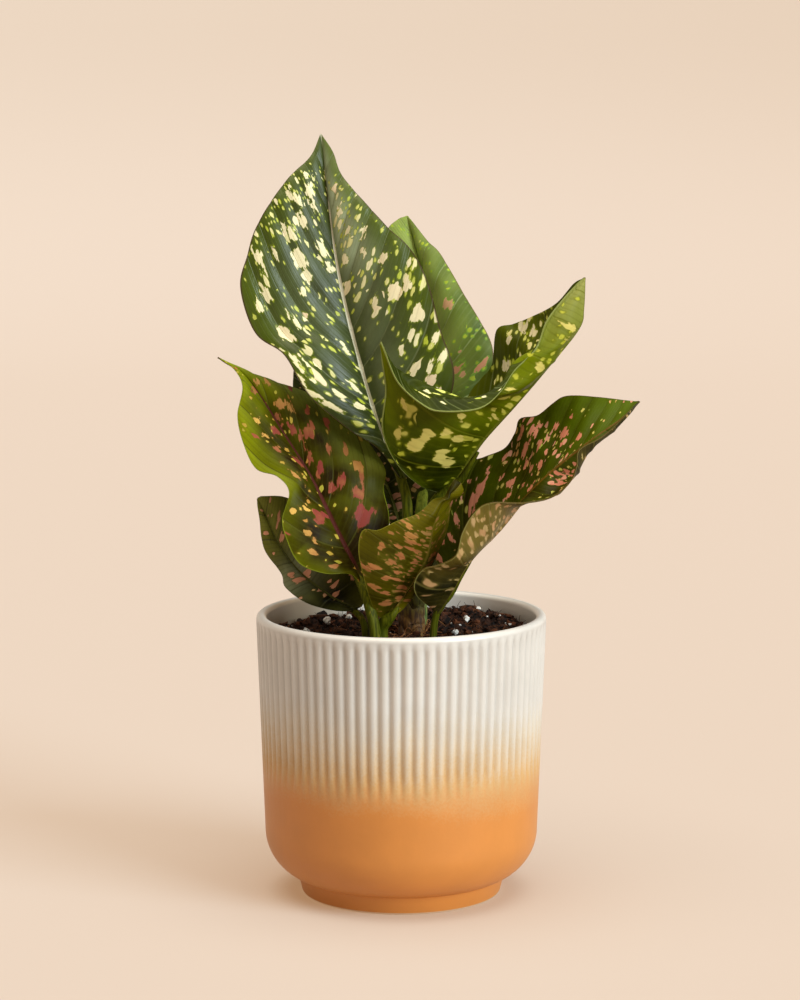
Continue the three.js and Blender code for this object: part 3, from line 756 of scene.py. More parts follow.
def blade_rows(leaf):
    """The blade's middle surface as rows of points from foot to tip, with shares across and lengths."""
    length = rib_length(leaf)
    rows = round(length / LEAF_STEP)
    rib = even_points(leaf["midrib"], rows)
    tip = rib[-1]
    lines = {}
    for side in ("left", "right", "right_lip"):
        if side in leaf:
            last = Vector(leaf[side][-1]) - tip
            lines[side] = even_points([*leaf[side], tip + last.normalized() * TIP_HALF_WIDTH], rows)
    widths = [[(lines[side][row] - rib[row]).length for side in ("left", "right")] for row in range(rows + 1)]
    half = round(max(map(max, widths)) / LEAF_STEP)
    shares = [k / half - 1 for k in range(2 * half + 1)]
    if "right_lip" in lines:
        shares += [1 + k / LIP_COLUMNS for k in range(1, LIP_COLUMNS + 1)]

    def point(row, across):
        side = "left" if across < 0 else "right"
        bulge = leaf["bulge"][0 if across < 0 else 1]
        along = row / rows
        edge = lines[side][row]
        if across > 1:
            return edge.lerp(lines["right_lip"][row], across - 1)
        reach = edge - rib[row]
        direction = rib[min(row + 1, rows)] - rib[max(row - 1, 0)]
        up = direction.cross(reach).normalized() * (1 if across < 0 else -1)
        out = abs(across)
        rise = bulge * min(1, 4 * along, 4 * (1 - along))
        return rib[row] + reach * out + up * 4 * rise * out * (1 - out)

    def rounded_point(row, across):
        near = (across - 1) / FOLD_ROUNDING
        if "right_lip" not in lines or abs(near) >= 1:
            return point(row, across)
        t = (near + 1) / 2
        before = point(row, 1 - FOLD_ROUNDING)
        fold = point(row, 1)
        after = point(row, 1 + FOLD_ROUNDING)
        return before * (1 - t) ** 2 + fold * 2 * t * (1 - t) + after * t * t

    surface = [[rounded_point(row, share) for share in shares] for row in range(rows + 1)]
    return surface, shares, widths, length


def blade_normals(surface):
    """The upper side's direction at each point of the surface."""
    last_row = len(surface) - 1
    last_column = len(surface[0]) - 1
    normals = []
    for i, row in enumerate(surface):
        above = surface[min(i + 1, last_row)]
        below = surface[max(i - 1, 0)]
        normals.append([
            (row[min(j + 1, last_column)] - row[max(j - 1, 0)]).cross(above[j] - below[j]).normalized()
            for j in range(last_column + 1)
        ])
    return normals


def nearest_mark(reach, start, scale, marks):
    """How deep a place lies inside the nearest large mark, in mm, and that mark's tone from 0 to 1."""
    nearest = FAR_FROM_MARKS
    for middle_reach, middle_start, half_length, half_width, tone in marks:
        lengthwise = (reach - middle_reach) / scale
        crosswise = (start - middle_start) / scale
        away = math.hypot(lengthwise / half_length, crosswise / half_width)
        nearest = max(nearest, ((1 - away) * half_width, tone))
    return nearest


def puffed_height(leaf, along, share, start):
    """How far the skin is puffed between its side veins and rippled at its edge, in mm."""
    out = abs(share)
    turns = start / leaf["spacing"]
    dome = 1 - abs(2 * (turns % 1) - 1) ** DOME_FLATNESS
    minor = 1 - abs(2 * (turns * MINOR_LOBES % 1) - 1) ** 2
    inward = min(1, out * 6) * min(1, max(0, 1.04 - out) * 7)
    side_shift = 0 if share < 0 else 2
    ripple = math.sin(leaf["waves"] * 2 * math.pi * along + side_shift) * min(out, 1) ** 3
    lift = leaf["quilt"] * inward * (dome - LOBE_MIDDLE + MINOR_LOBE_SHARE * minor)
    return min(1, 7 * along, 5 * (1 - along)) * (lift + leaf["ripple"] * ripple)


def grow_leaf(leaf, materials, slot):
    """One leaf: its blade, puffed and rippled, and its channelled stalk, as one piece.

    A mark is given by its place along and across, its half length and half width in mm, and its tone
    where that isn't nought.
    """
    surface, shares, widths, length = blade_rows(leaf)
    normals = blade_normals(surface)
    rows = len(surface) - 1
    columns = len(shares) - 1

    def grain_at(row, share):
        side = 0 if share < 0 else 1
        return grain_place(leaf, side, length * row / rows, abs(share) * widths[row][side])

    marks = {True: [], False: []}
    for along, across, half_length, half_width, *tone in leaf["marks"]:
        reach, start, _ = grain_at(round(along * rows), across)
        marks[across < 0].append((reach, start, half_length, half_width, tone[0] if tone else 0))

    bm = bmesh.new()
    row_of = bm.verts.layers.int.new("row")
    column_of = bm.verts.layers.int.new("column")
    bm.verts.layers.int.new("spoke")
    value_layers = [bm.verts.layers.float.new(name) for name in MESH_VALUES]
    vein_uv = bm.loops.layers.uv.new("veins")
    blade_uv = bm.loops.layers.uv.new("blade")
    bmesh.ops.create_grid(bm, x_segments=columns, y_segments=rows, size=1)
    for vert in bm.verts:
        vert[row_of] = round((vert.co.y + 1) / 2 * rows)
        vert[column_of] = round((vert.co.x + 1) / 2 * columns)
    grown = bmesh.ops.extrude_face_region(bm, geom=bm.faces[:], use_keep_orig=True)["geom"]
    lower = {g for g in grown if isinstance(g, bmesh.types.BMVert)}
    under_faces = {g for g in grown if isinstance(g, bmesh.types.BMFace)}
    for vert in bm.verts:
        i = vert[row_of]
        j = vert[column_of]
        along = i / rows
        share = shares[j]
        reach, start, scale = grain_at(i, share)
        rib_distance = abs(share) * widths[i][0 if share < 0 else 1]
        keel = KEEL_DEPTH * (1 - along) * bell(rib_distance, 0, KEEL_WIDTH)
        channel = CHANNEL_DEPTH * (1 - along) * bell(rib_distance, 0, RIB_CHANNEL_WIDTH)
        offset = puffed_height(leaf, along, share, start) - channel
        offset += -BLADE_THICKNESS / 2 - keel if vert in lower else BLADE_THICKNESS / 2
        vert.co = surface[i][j] + normals[i][j] * offset
        # The shade values set how light the green is: the leaf's own paler and darker parts, with painted
        # light and painted shade mixed in where a part lies in shadow or faces the light.
        shading = leaf.get("under_shade", leaf["shade"]) if vert in lower else leaf["shade"]
        values = (
            *nearest_mark(reach, start, scale, marks[share < 0]), leaf["speckle"](along, share),
            share_of(shading(along, share)), leaf["painted_sheen"](along, share), rib_distance * MM,
        )
        for layer, value in zip(value_layers, values):
            vert[layer] = value
    for face in bm.faces:
        face.smooth = True
        sides = {vert in lower for vert in face.verts}
        face.material_index = 1 if face in under_faces else 0
        if len(sides) == 2:
            for edge in face.edges:
                if len({vert in lower for vert in edge.verts}) == 1:
                    edge.smooth = False
        for loop in face.loops:
            i = loop.vert[row_of]
            share = shares[loop.vert[column_of]]
            reach, start, _ = grain_at(i, share)
            loop[vein_uv].uv = ((reach + (0 if share < 0 else RIGHT_SIDE_PATTERN)) * MM, start * MM)
            loop[blade_uv].uv = ((share + 1) / 2, i / rows)
    bmesh.ops.recalc_face_normals(bm, faces=bm.faces)
    if bm.calc_volume(signed=True) < 0:
        bmesh.ops.reverse_faces(bm, faces=bm.faces)

    foot = leaf["stalk"]
    middle = shares.index(0)
    reach = round(rows * leaf["keel"])
    path = [Vector(p) for p in foot[:-1]]
    for i in range(reach // 3, reach + 1, max(1, reach // 3)):
        path.append(surface[i][middle] - normals[i][middle] * leaf["radius"] * 0.8)
    free_length = (Vector(foot[-2]) - Vector(foot[0])).length
    blade_start = free_length / (free_length + reach * LEAF_STEP)

    def stalk_radius(share):
        sheath = 1 + SHEATH_SWELL * math.exp(-share * 6)
        slimming = 1 - KEEL_SLIMMING * max(0, (share - blade_start) / (1 - blade_start))
        return leaf["radius"] * sheath * slimming

    before = set(bm.faces)
    inner_side = normals[0][columns // 2]
    grow_stem(bm, even_points(path, STALK_STEPS), stalk_radius, STALK_SIDES, inner_side, STALK_CHANNEL)
    stalk_faces = [face for face in bm.faces if face not in before]
    for face in stalk_faces:
        face.material_index = 2
        face.smooth = True
    bmesh.ops.recalc_face_normals(bm, faces=stalk_faces)
    show_piece("dressed_" + leaf["name"], bm, materials, slot, leaf["name"])


def new_group(name, inputs, outputs):
    """An empty node group, the values it is given and the node that takes its results."""
    group = bpy.data.node_groups.new(name, "ShaderNodeTree")
    for socket in inputs:
        group.interface.new_socket(socket, in_out="INPUT", socket_type="NodeSocketFloat")
    for socket in outputs:
        group.interface.new_socket(socket, in_out="OUTPUT", socket_type="NodeSocketFloat")
    return group, group.nodes.new("NodeGroupInput").outputs, group.nodes.new("NodeGroupOutput")


def run_group(tree, group, sockets):
    """The values that a node group gives for the ones it is given."""
    return add_node(tree, "ShaderNodeGroup", sockets, node_tree=group).outputs


# Spots in cells of one size: how deep a place lies in its cell's spot, and a random tone for each.
SPOT_RADII = (0.10, 0.34)
SEED_SHIFT = 13.7
spot_group, given, result = new_group(
    "leaf spots", ["Along", "Out", "Size", "Stretch", "Share", "Ragged", "Seed"], ["Depth", "Pick"],
)
tree = spot_group
across_cells = work_out(tree, "DIVIDE", given["Along"], given["Size"])
across_cells = plus(tree, across_cells, times(tree, given["Seed"], SEED_SHIFT))
along_cells = work_out(tree, "DIVIDE", given["Out"], times(tree, given["Size"], given["Stretch"]))
cells = add_node(tree, "ShaderNodeCombineXYZ", {0: across_cells, 1: along_cells, 2: given["Seed"]}).outputs[0]
wobble = add_node(tree, "ShaderNodeTexNoise", {"Vector": cells, "Scale": 1.6, "Detail": 1.0}).outputs["Color"]
wobble = vector_sum(tree, "SUBTRACT", {0: wobble, 1: (0.5, 0.5, 0.5)})[0]
wobble = vector_sum(tree, "SCALE", {0: wobble, "Scale": given["Ragged"]})[0]
cells = vector_sum(tree, "ADD", {0: cells, 1: wobble})[0]
sockets = {"Vector": cells, "Scale": 1.0, "Randomness": 0.85}
voronoi = add_node(tree, "ShaderNodeTexVoronoi", sockets, voronoi_dimensions="2D").outputs
present, size_share, tone_share = add_node(tree, "ShaderNodeSeparateColor", {0: voronoi["Color"]}).outputs
radius = fade(tree, size_share, 0.0, 1.0, *SPOT_RADII)
depth = times(tree, less(tree, radius, voronoi["Distance"]), given["Size"])
depth = less(tree, depth, work_out(tree, "GREATER_THAN", present, given["Share"]))
set_sockets(tree, result, {"Depth": depth, "Pick": tone_share})

# Side veins: a line on each, fine lines between them, and how far a place lies from the nearest one.
FINE_VEINS = 6
vein_group, given, result = new_group("side veins", ["Along", "Spacing"], ["Line", "Fine", "Lobe"])
tree = vein_group
turns = work_out(tree, "DIVIDE", given["Along"], given["Spacing"])
lobe = work_out(tree, "PINGPONG", turns, 0.5)
fine = work_out(tree, "PINGPONG", times(tree, turns, FINE_VEINS), 0.5)
set_sockets(tree, result, {
    "Line": fade(tree, times(tree, lobe, given["Spacing"]), 0.00055, 0.0001),
    "Fine": fade(tree, fine, 0.22, 0.02),
    "Lobe": times(tree, lobe, 2.0),
})

MOTTLE_WAVES = 70
CLUSTER_WAVES = 46
CLUSTERS = (0.36, 0.62, 0.15, 1.6)
HALO_REACH = 0.0006
MARK_WAVES = 430
MARK_RAGGEDNESS = 6.5
TONE_WAVES = 160
RIB_FOOT_ENDS = (0.03, 0.09)
EDGE_BAND = (0.488, 0.498)
LIP_BAND = (1.46, 1.49)
PORE_WAVES = 2600
GLOSS_WAVES = 110


def leaf_skin(name, leaf, look, softness=0.0):
    """The skin of one side of a blade: base colours, side veins, spots in sizes, midrib and edge."""
    tree, shader, place, material = new_material(name)
    veins = add_node(tree, "ShaderNodeUVMap", uv_map="veins").outputs[0]
    blade = add_node(tree, "ShaderNodeUVMap", uv_map="blade").outputs[0]
    reach, start = add_node(tree, "ShaderNodeSeparateXYZ", {0: veins}).outputs[:2]
    across, rise = add_node(tree, "ShaderNodeSeparateXYZ", {0: blade}).outputs[:2]
    sockets = {"Along": start, "Spacing": leaf["spacing"] * MM}
    line, fine, lobe = run_group(tree, vein_group, sockets)

    mottle = less(tree, noise_value(tree, place, MOTTLE_WAVES, 4), 0.5)
    # Lightness: the mesh's shade values, painted light and shade among them, and a painted highlight on each
    # puffed lobe between the veins.
    lightness = plus(tree, painted(tree, "shade"), times(tree, mottle, 0.7))
    lightness = plus(tree, lightness, times(tree, lobe, look["lobe"]), clamp=True)
    colour = mix_colours(tree, lightness, tint(look["deep"]), tint(look["light"]))
    # Painted sheen: a grey or pale colour laid over the base, patchy with the mottle.
    if "painted_sheen" in look:
        painted_sheen = painted(tree, "painted_sheen")
        painted_sheen_patches = plus(tree, painted_sheen, times(tree, mottle, painted_sheen), clamp=True)
        colour = mix_colours(tree, painted_sheen_patches, colour, tint(look["painted_sheen"]))
    lines = plus(tree, times(tree, line, look["line"]), times(tree, fine, look["fine"]))
    colour = mix_colours(tree, lines, colour, tint(look["vein"]))

    edge_start = 0.00012 + softness * HALO_REACH
    clusters = fade(tree, noise_value(tree, place, CLUSTER_WAVES, 2), *CLUSTERS)
    speckle = times(tree, painted(tree, "speckle"), clusters)
    covered = 0.0
    for number, (size, stretch, share, ragged, spot, other) in enumerate(look["spots"]):
        depth, pick = run_group(tree, spot_group, {
            "Along": start, "Out": reach, "Share": times(tree, speckle, share),
            "Size": size * MM, "Stretch": stretch, "Ragged": ragged, "Seed": number + leaf["seed"],
        })
        halo = fade(tree, depth, -HALO_REACH - edge_start, -0.0001, 0.0, look["halo_strength"])
        halo = times(tree, halo, less(tree, 1.0, covered))
        inside = fade(tree, depth, -edge_start, edge_start, 0.0, 1 - 0.35 * softness)
        covered = work_out(tree, "MAXIMUM", covered, inside)
        colour = mix_colours(tree, halo, colour, tint(look["halo"]))
        colour = mix_colours(tree, inside, colour, mix_colours(tree, pick, tint(spot), tint(other)))

    slow_reach = times(tree, reach, 0.3)
    along_veins = add_node(tree, "ShaderNodeCombineXYZ", {0: start, 1: slow_reach, 2: 0.0}).outputs[0]
    wander = times(tree, less(tree, noise_value(tree, along_veins, MARK_WAVES, 3), 0.5), MARK_RAGGEDNESS)
    marked = plus(tree, painted(tree, "marks"), wander)
    halo = fade(tree, marked, -0.7 - softness * 0.5, -0.1, 0.0, look["halo_strength"])
    halo = times(tree, halo, less(tree, 1.0, covered))
    soft_edge = 0.12 + softness * 0.5
    inside = fade(tree, marked, -soft_edge, soft_edge, 0.0, 1 - 0.25 * softness)
    colour = mix_colours(tree, halo, colour, tint(look["halo"]))
    cloud = less(tree, noise_value(tree, place, TONE_WAVES, 2), 0.5)
    tone = plus(tree, painted(tree, "tone"), times(tree, cloud, 0.5), clamp=True)
    blotch = mix_colours(tree, tone, tint(look["mark"]), tint(look["mark_other"]))
    colour = mix_colours(tree, inside, colour, blotch)
    colour = mix_colours(tree, times(tree, fine, look["faint"]), colour, tint(look["deep"]))

    rib_width = fade(tree, rise, 0.0, 1.0, look["rib_width"] * MM, look["rib_width"] * 0.25 * MM)
    beyond = less(tree, painted(tree, "gap"), rib_width)
    rib_foot = fade(tree, rise, *RIB_FOOT_ENDS)
    rib_colour = mix_colours(tree, rib_foot, tint(look["rib_foot"]), tint(look["rib"]))
    colour = mix_colours(tree, fade(tree, beyond, 0.00025, -0.00015), colour, rib_colour)
    centred = work_out(tree, "ABSOLUTE", less(tree, across, 0.5))
    edge = fade(tree, across, *LIP_BAND) if look["lip"] else fade(tree, centred, *EDGE_BAND)

    sink = times(tree, plus(tree, line, times(tree, fine, 0.35)), -1.0)
    pores = times(tree, noise_value(tree, place, PORE_WAVES, 2), 0.25)
    patches = noise_value(tree, place, GLOSS_WAVES, 3)
    set_sockets(tree, shader, {
        "Base Color": mix_colours(tree, edge, colour, tint(look["edge"])),
        "Roughness": fade(tree, patches, 0.3, 0.7, look["gloss"] - 0.06, look["gloss"] + 0.08),
        "Normal": bumps(tree, plus(tree, sink, pores), 0.5, 0.00025),
        "Specular IOR Level": look["shine"],
    })
    return material


def dress_leaf(leaf, look, under, softness, stalk, slot):
    """A whole leaf. Its underside looks as its upper side does, but for the changes given."""
    leaf = {**COMMON_GROWTH, **leaf}
    upper_look = {**COMMON_LOOK, **look}
    skins = [
        leaf_skin(leaf["name"] + "_upper", leaf, upper_look),
        leaf_skin(leaf["name"] + "_under", leaf, {**upper_look, **under}, softness),
    ]
    grow_leaf(leaf, [*skins, stalk], slot)


def stalk_skin(name, pale, dark, fleck):
    """The skin of a stalk: green, streaked lengthwise, with a few paler flecks."""
    tree, shader, place, material = new_material(name)
    streaks = upright_streaks(tree, place, 0.08, 900, 3, 0.3, 0.7)
    flecks = upright_streaks(tree, place, 0.08, 420, 2, 0.66, 0.72)
    colour = mix_colours(tree, streaks, tint(dark), tint(pale))
    set_sockets(tree, shader, {
        "Base Color": mix_colours(tree, flecks, colour, tint(fleck)),
        "Roughness": 0.5,
        "Normal": bumps(tree, streaks, 0.35, 0.0003),
        "Specular IOR Level": 0.06,
    })
    return material


green_stalk = stalk_skin("green_stalk", "#575a0c", "#333804", "#665c18")
pale_stalk = stalk_skin("pale_stalk", "#808c2e", "#56661c", "#98985c")

CREAM = "#e1d7ac"
PEACH = "#e0c8a1"
LIME = "#a8b336"
tall_leaf = {
    "name": "leaf_back_tall", "seed": 3.7, "radius": 2.5, "bulge": (4, 4), "spacing": 19,
    "sweep": (0.62, 0.5), "quilt": 1.5, "waves": 4, "ripple": 0.5,
    "stalk": [(2, -7, 147), (2, -7, 156), (3, -5, 171), (3, -2, 184), (2, 0, 195), (0, 1, 208)],
    "midrib": [
        (1, 0, 202), (-4, 1, 212), (-12, 6, 230), (-23, 15, 268), (-31, 21, 304), (-36, 29, 342),
        (-39, 36, 366),
    ],
    "left": [
        (-1, -1, 203), (-11, -5, 217), (-25, -8, 227), (-44, -7, 243), (-56, -2, 262), (-70, 4, 272),
        (-77, 9, 293), (-74, 12, 308), (-69, 16, 323), (-55, 23, 344), (-44, 29, 355),
    ],
    "right": [
        (3, -1, 203), (11, -6, 211), (20, -8, 227), (24, -7, 243), (25, -5, 256), (19, 1, 273), (13, 6, 295),
        (5, 10, 311), (-7, 14, 322), (-19, 19, 335), (-29, 25, 347), (-33, 31, 357),
    ],
    "marks": [
        (0.87, -0.63, 1.9, 1.1), (0.83, -0.42, 3.0, 1.9), (0.81, -0.74, 2.9, 1.4), (0.80, -0.57, 3.1, 1.4),
        (0.79, -0.32, 3.5, 1.1), (0.74, -0.42, 3.5, 1.6), (0.73, -0.67, 1.7, 1.3), (0.71, -0.55, 3.5, 1.8),
        (0.64, -0.42, 4.8, 3.0), (0.60, -0.35, 3.5, 1.9), (0.67, -0.17, 3.9, 2.0), (0.62, -0.10, 2.8, 1.6),
        (0.65, -0.86, 5.0, 1.6), (0.56, -0.77, 3.1, 1.8), (0.53, -0.86, 2.8, 1.6), (0.66, -0.71, 2.8, 1.1),
        (0.56, -0.41, 1.8, 1.4), (0.45, -0.74, 5.2, 2.4, 0.3), (0.49, -0.58, 4.0, 1.1),
        (0.35, -0.81, 2.4, 1.3), (0.35, -0.67, 2.2, 1.0), (0.28, -0.31, 3.7, 1.2), (0.26, -0.60, 3.1, 1.4),
        (0.19, -0.57, 3.5, 1.1), (0.22, -0.42, 4.2, 1.2), (0.39, -0.19, 2.2, 1.1), (0.77, 0.38, 2.8, 1.2),
        (0.63, 0.15, 2.4, 1.7), (0.71, 0.38, 2.4, 1.5), (0.70, 0.62, 2.9, 1.1), (0.64, 0.45, 2.0, 1.4),
        (0.61, 0.64, 2.8, 1.7, 0.3), (0.52, 0.63, 4.0, 3.2, 0.4), (0.53, 0.78, 3.3, 1.7, 0.2),
        (0.45, 0.81, 4.6, 2.6, 0.2), (0.50, 0.38, 2.6, 1.1), (0.37, 0.53, 2.4, 1.6), (0.31, 0.59, 3.3, 1.4),
        (0.28, 0.76, 2.8, 1.8, 1), (0.39, 0.93, 3.5, 1.1), (0.34, 0.93, 3.9, 1.2), (0.32, 0.78, 3.5, 1.1),
        (0.41, 0.70, 2.6, 1.1), (0.25, 0.86, 1.8, 1.2, 1), (0.36, -0.92, 4.1, 0.8), (0.31, -0.86, 4.6, 0.8),
        (0.28, -0.94, 4.1, 0.8), (0.24, -0.88, 4.1, 0.8),
    ],
    "speckle": lambda along, across: (
        0.0 if along > 0.91 else 0.95 if across > 0.3 else 0.5 + 0.3 * abs(across)
    ),
    # Own paler margins, and painted light on the right half, which faces away from the light.
    "shade": lambda along, across: (
        0.05 + 0.2 * along + across ** 2 * (0.6 * min(1, 2 * along) if across < 0 else 0.2)
        + (0.25 + 1.1 * past(along, 0.55) if across > 0 else 0)
    ),
    # Painted sheen: a grey satin patch high on the right half, and faint ones lower on each half.
    "painted_sheen": lambda along, across: (
        0.95 * bell(along, 0.78, 0.18) * bell(across, 0.25, 0.35)
        + 0.15 * bell(along, 0.32, 0.25) * bell(across, 0.3, 0.3) if across > 0
        else 0.1 * bell(along, 0.55, 0.3) * bell(across, -0.35, 0.35)
    ),
}
tall_look = {
    "deep": "#1c2402", "light": "#4a570c", "painted_sheen": "#a0ac88", "vein": "#70784e", "rib_foot": "#4c5616",
    "rib": "#c4c0a6", "rib_width": 1.8, "edge": "#42341c", "halo": "#798711", "mark": CREAM,
    "mark_other": PEACH, "lobe": 0.1, "fine": 0.08, "shine": 0.24,
    "spots": [
        (3.2, 2.2, 0.42, 0.5, LIME, "#c7c371"), (5.2, 2.4, 0.30, 0.7, CREAM, "#d2cd89"),
        (8.5, 2.2, 0.08, 0.8, CREAM, PEACH),
    ],
}
tall_under = {"deep": "#3b4814", "light": "#65732f", "gloss": 0.5}
dress_leaf(tall_leaf, tall_look, tall_under, 1.0, green_stalk, "dark_cream_leaf")

# Back right leaf: behind the tallest one, a lighter yellow green with a pale satin sheen, tiny lime
# dots and a few tan blotches. It grew with its stalk from the crown of the cane.
back_right_leaf = {
    "name": "leaf_back_right", "seed": 5.92, "radius": 2.7, "bulge": (3, 5), "spacing": 18, "ripple": 0.4,
    "stalk": [(8, -1, 147), (8, -1, 156), (8, 1, 169), (9, 3, 181), (10, 7, 190), (11, 16, 206)],
    "midrib": [
        (9, 16, 200), (14, 22, 216), (19, 31, 239), (18, 42, 265), (13, 53, 289), (7, 62, 311), (3, 66, 325),
    ],
    "left": [
        (7, 17, 201), (-3, 26, 213), (-11, 36, 237), (-14, 44, 265), (-12, 54, 294), (-8, 62, 316),
        (-2, 65, 323),
    ],
    "right": [
        (12, 16, 201), (24, 21, 208), (36, 29, 227), (43, 33, 244), (45, 33, 256), (43, 35, 267),
        (32, 42, 285), (20, 52, 306), (13, 57, 313), (5, 64, 323),
    ],
    "marks": [
        (0.64, 0.55, 3.4, 1.9), (0.41, 0.36, 4.4, 1.8, 1), (0.42, 0.79, 4.0, 0.9, 1), (0.38, 0.46, 1.8, 1.2),
        (0.47, 0.42, 1.2, 1.0),
    ],
    "speckle": lambda along, across: 0.9,
    # Partly painted light: lighter along the midrib, where the fold would lie in shadow.
    "shade": lambda along, across: (
        1.1 * along - 0.2 + 0.4 * bell(across, 0.05, 0.35) - 0.6 * past(across, 0.4)
    ),
}
back_right_look = {
    "deep": "#3b4e0b", "light": "#869646", "vein": "#939f65", "rib_foot": "#5d6e22", "rib": "#7d8639",
    "rib_width": 1.2, "edge": "#5f5125", "halo": "#79a634", "mark": "#bb9067", "mark_other": "#b6815e",
    "lobe": 0.2, "gloss": 0.44, "shine": 0.15,
    "spots": [(3.2, 1.5, 0.24, 0.4, "#a5b134", "#8b9b25"), (6.0, 1.8, 0.06, 0.6, "#b5b15e", "#b18b5e")],
}
back_right_under = {"deep": "#4d591a", "light": "#778338", "gloss": 0.5}
dress_leaf(back_right_leaf, back_right_look, back_right_under, 1.0, pale_stalk, "light_green_leaf")

# Trough leaf: it leans to the right with its near half folded up into a trough and the free edge
# rolled out over the fold. Inside it is dark green with cream spots; the underside that faces the
# front is olive and lets the spots shine through softly.
trough_leaf = {
    "name": "leaf_trough", "seed": 4.44, "radius": 3.1, "bulge": (-3, -6), "spacing": 17,
    "sweep": (0.5, 0.18),
    "stalk": [(8, -7, 147), (8, -8, 157), (10, -8, 170), (14, -7, 182), (17, -6, 192), (25, -6, 203)],
    "midrib": [
        (21, -4, 196), (29, -7, 208), (38, -10, 222), (53, -13, 239), (72, -14, 261), (84, -12, 276),
        (86, -10, 285), (87, -6, 299),
    ],
    "left": [
        (22, -3, 198), (26, 8, 214), (32, 19, 238), (39, 20, 248), (44, 19, 255), (46, 18, 272),
        (54, 16, 275), (63, 12, 279), (74, 4, 286), (82, -3, 296),
    ],
    "right": [
        (19, -5, 196), (10, -12, 201), (-2, -20, 214), (-8, -26, 229), (-6, -30, 246), (-5, -31, 257),
        (-1, -33, 256), (7, -35, 248), (23, -37, 245), (38, -35, 247), (49, -29, 255), (52, -26, 262),
        (63, -22, 268), (69, -19, 279), (77, -14, 288), (85, -8, 296),
    ],
    "right_lip": [
        (18, -6, 196), (8, -13, 201), (-3, -21, 213), (-9, -28, 229), (-7, -31, 249), (-10, -31, 271),
        (-2, -38, 253), (10, -42, 242), (19, -43, 239), (36, -41, 240), (46, -35, 247), (53, -29, 257),
        (63, -25, 267), (68, -21, 279), (76, -16, 289), (84, -9, 297),
    ],
    "marks": [
        (0.22, 0.70, 4.0, 3.0), (0.25, 0.60, 3.0, 2.2), (0.19, 0.43, 3.4, 2.8), (0.155, 0.32, 3.4, 2.2, 0.3),
        (0.25, 0.27, 3.6, 1.7, 0.2), (0.27, 0.42, 2.6, 1.2), (0.24, 0.91, 3.0, 2.2, 1),
        (0.31, 0.88, 3.2, 1.2), (0.36, 0.06, 3.2, 1.3, 0.4), (0.33, 0.35, 2.2, 1.3), (0.70, 0.53, 3.2, 2.1),
        (0.63, 0.73, 2.6, 1.2), (0.83, 0.46, 3.2, 1.0), (0.79, 0.32, 2.2, 1.2), (0.55, 1.45, 2.0, 0.9),
        (0.61, 1.50, 1.3, 0.7), (0.64, 1.40, 1.8, 0.9), (0.70, 1.80, 1.6, 0.8), (0.69, -0.88, 3.2, 2.2),
        (0.61, -0.79, 1.8, 1.6), (0.70, -0.75, 2.6, 1.2), (0.52, -0.71, 3.2, 2.1), (0.75, -0.70, 2.0, 0.9),
    ],
    "speckle": lambda along, across: 0.25 if across > 0.97 or along > 0.84 else 1.1,
    "shade": lambda along, across: (
        0.25 + 0.75 * past(along, 0.45) + 0.4 * past(-across, 0.5) - (0.3 if across > 0.5 else 0)
    ),
    # Partly painted light: a lighter band part way up and on the far edge, where the blade lies in shadow.
    "under_shade": lambda along, across: (
        0.9 * along - 0.06 + 0.25 * bell(along, 0.42, 0.1) + (0.4 * past(across, 0.6) if along > 0.25 else 0)
    ),
    # Painted light: the underside turns pale towards the tip, as if lit through.
    "painted_sheen": lambda along, across: 1.6 * past(along, 0.74),
}
trough_look = {
    "deep": "#252d02", "light": "#5a630b", "vein": "#6f7846", "rib_foot": "#3c460e", "rib": "#767a3b",
    "rib_width": 1.2, "edge": "#7f8748", "halo": "#818b15", "mark": CREAM, "mark_other": "#ded395",
    "shine": 0.06, "lip": True,
    "spots": [(3.0, 2.0, 0.32, 0.5, LIME, "#d4d575"), (5.2, 2.0, 0.28, 0.7, CREAM, "#e1da89")],
}
trough_under = {
    "deep": "#1f2401", "light": "#6c7703", "painted_sheen": "#a69c6a", "vein": "#646811", "rib": "#5f6118",
    "halo": "#646808", "gloss": 0.45, "shine": 0.05, "mark": "#cdbd66", "mark_other": "#b7a552",
    "spots": [(3.0, 2.0, 0.30, 0.5, "#a8a82c", "#b8b442"), (5.6, 2.0, 0.26, 0.7, "#c4ba5a", "#b0aa3c")],
}
dress_leaf(trough_leaf, trough_look, trough_under, 0.35, green_stalk, "olive_leaf")

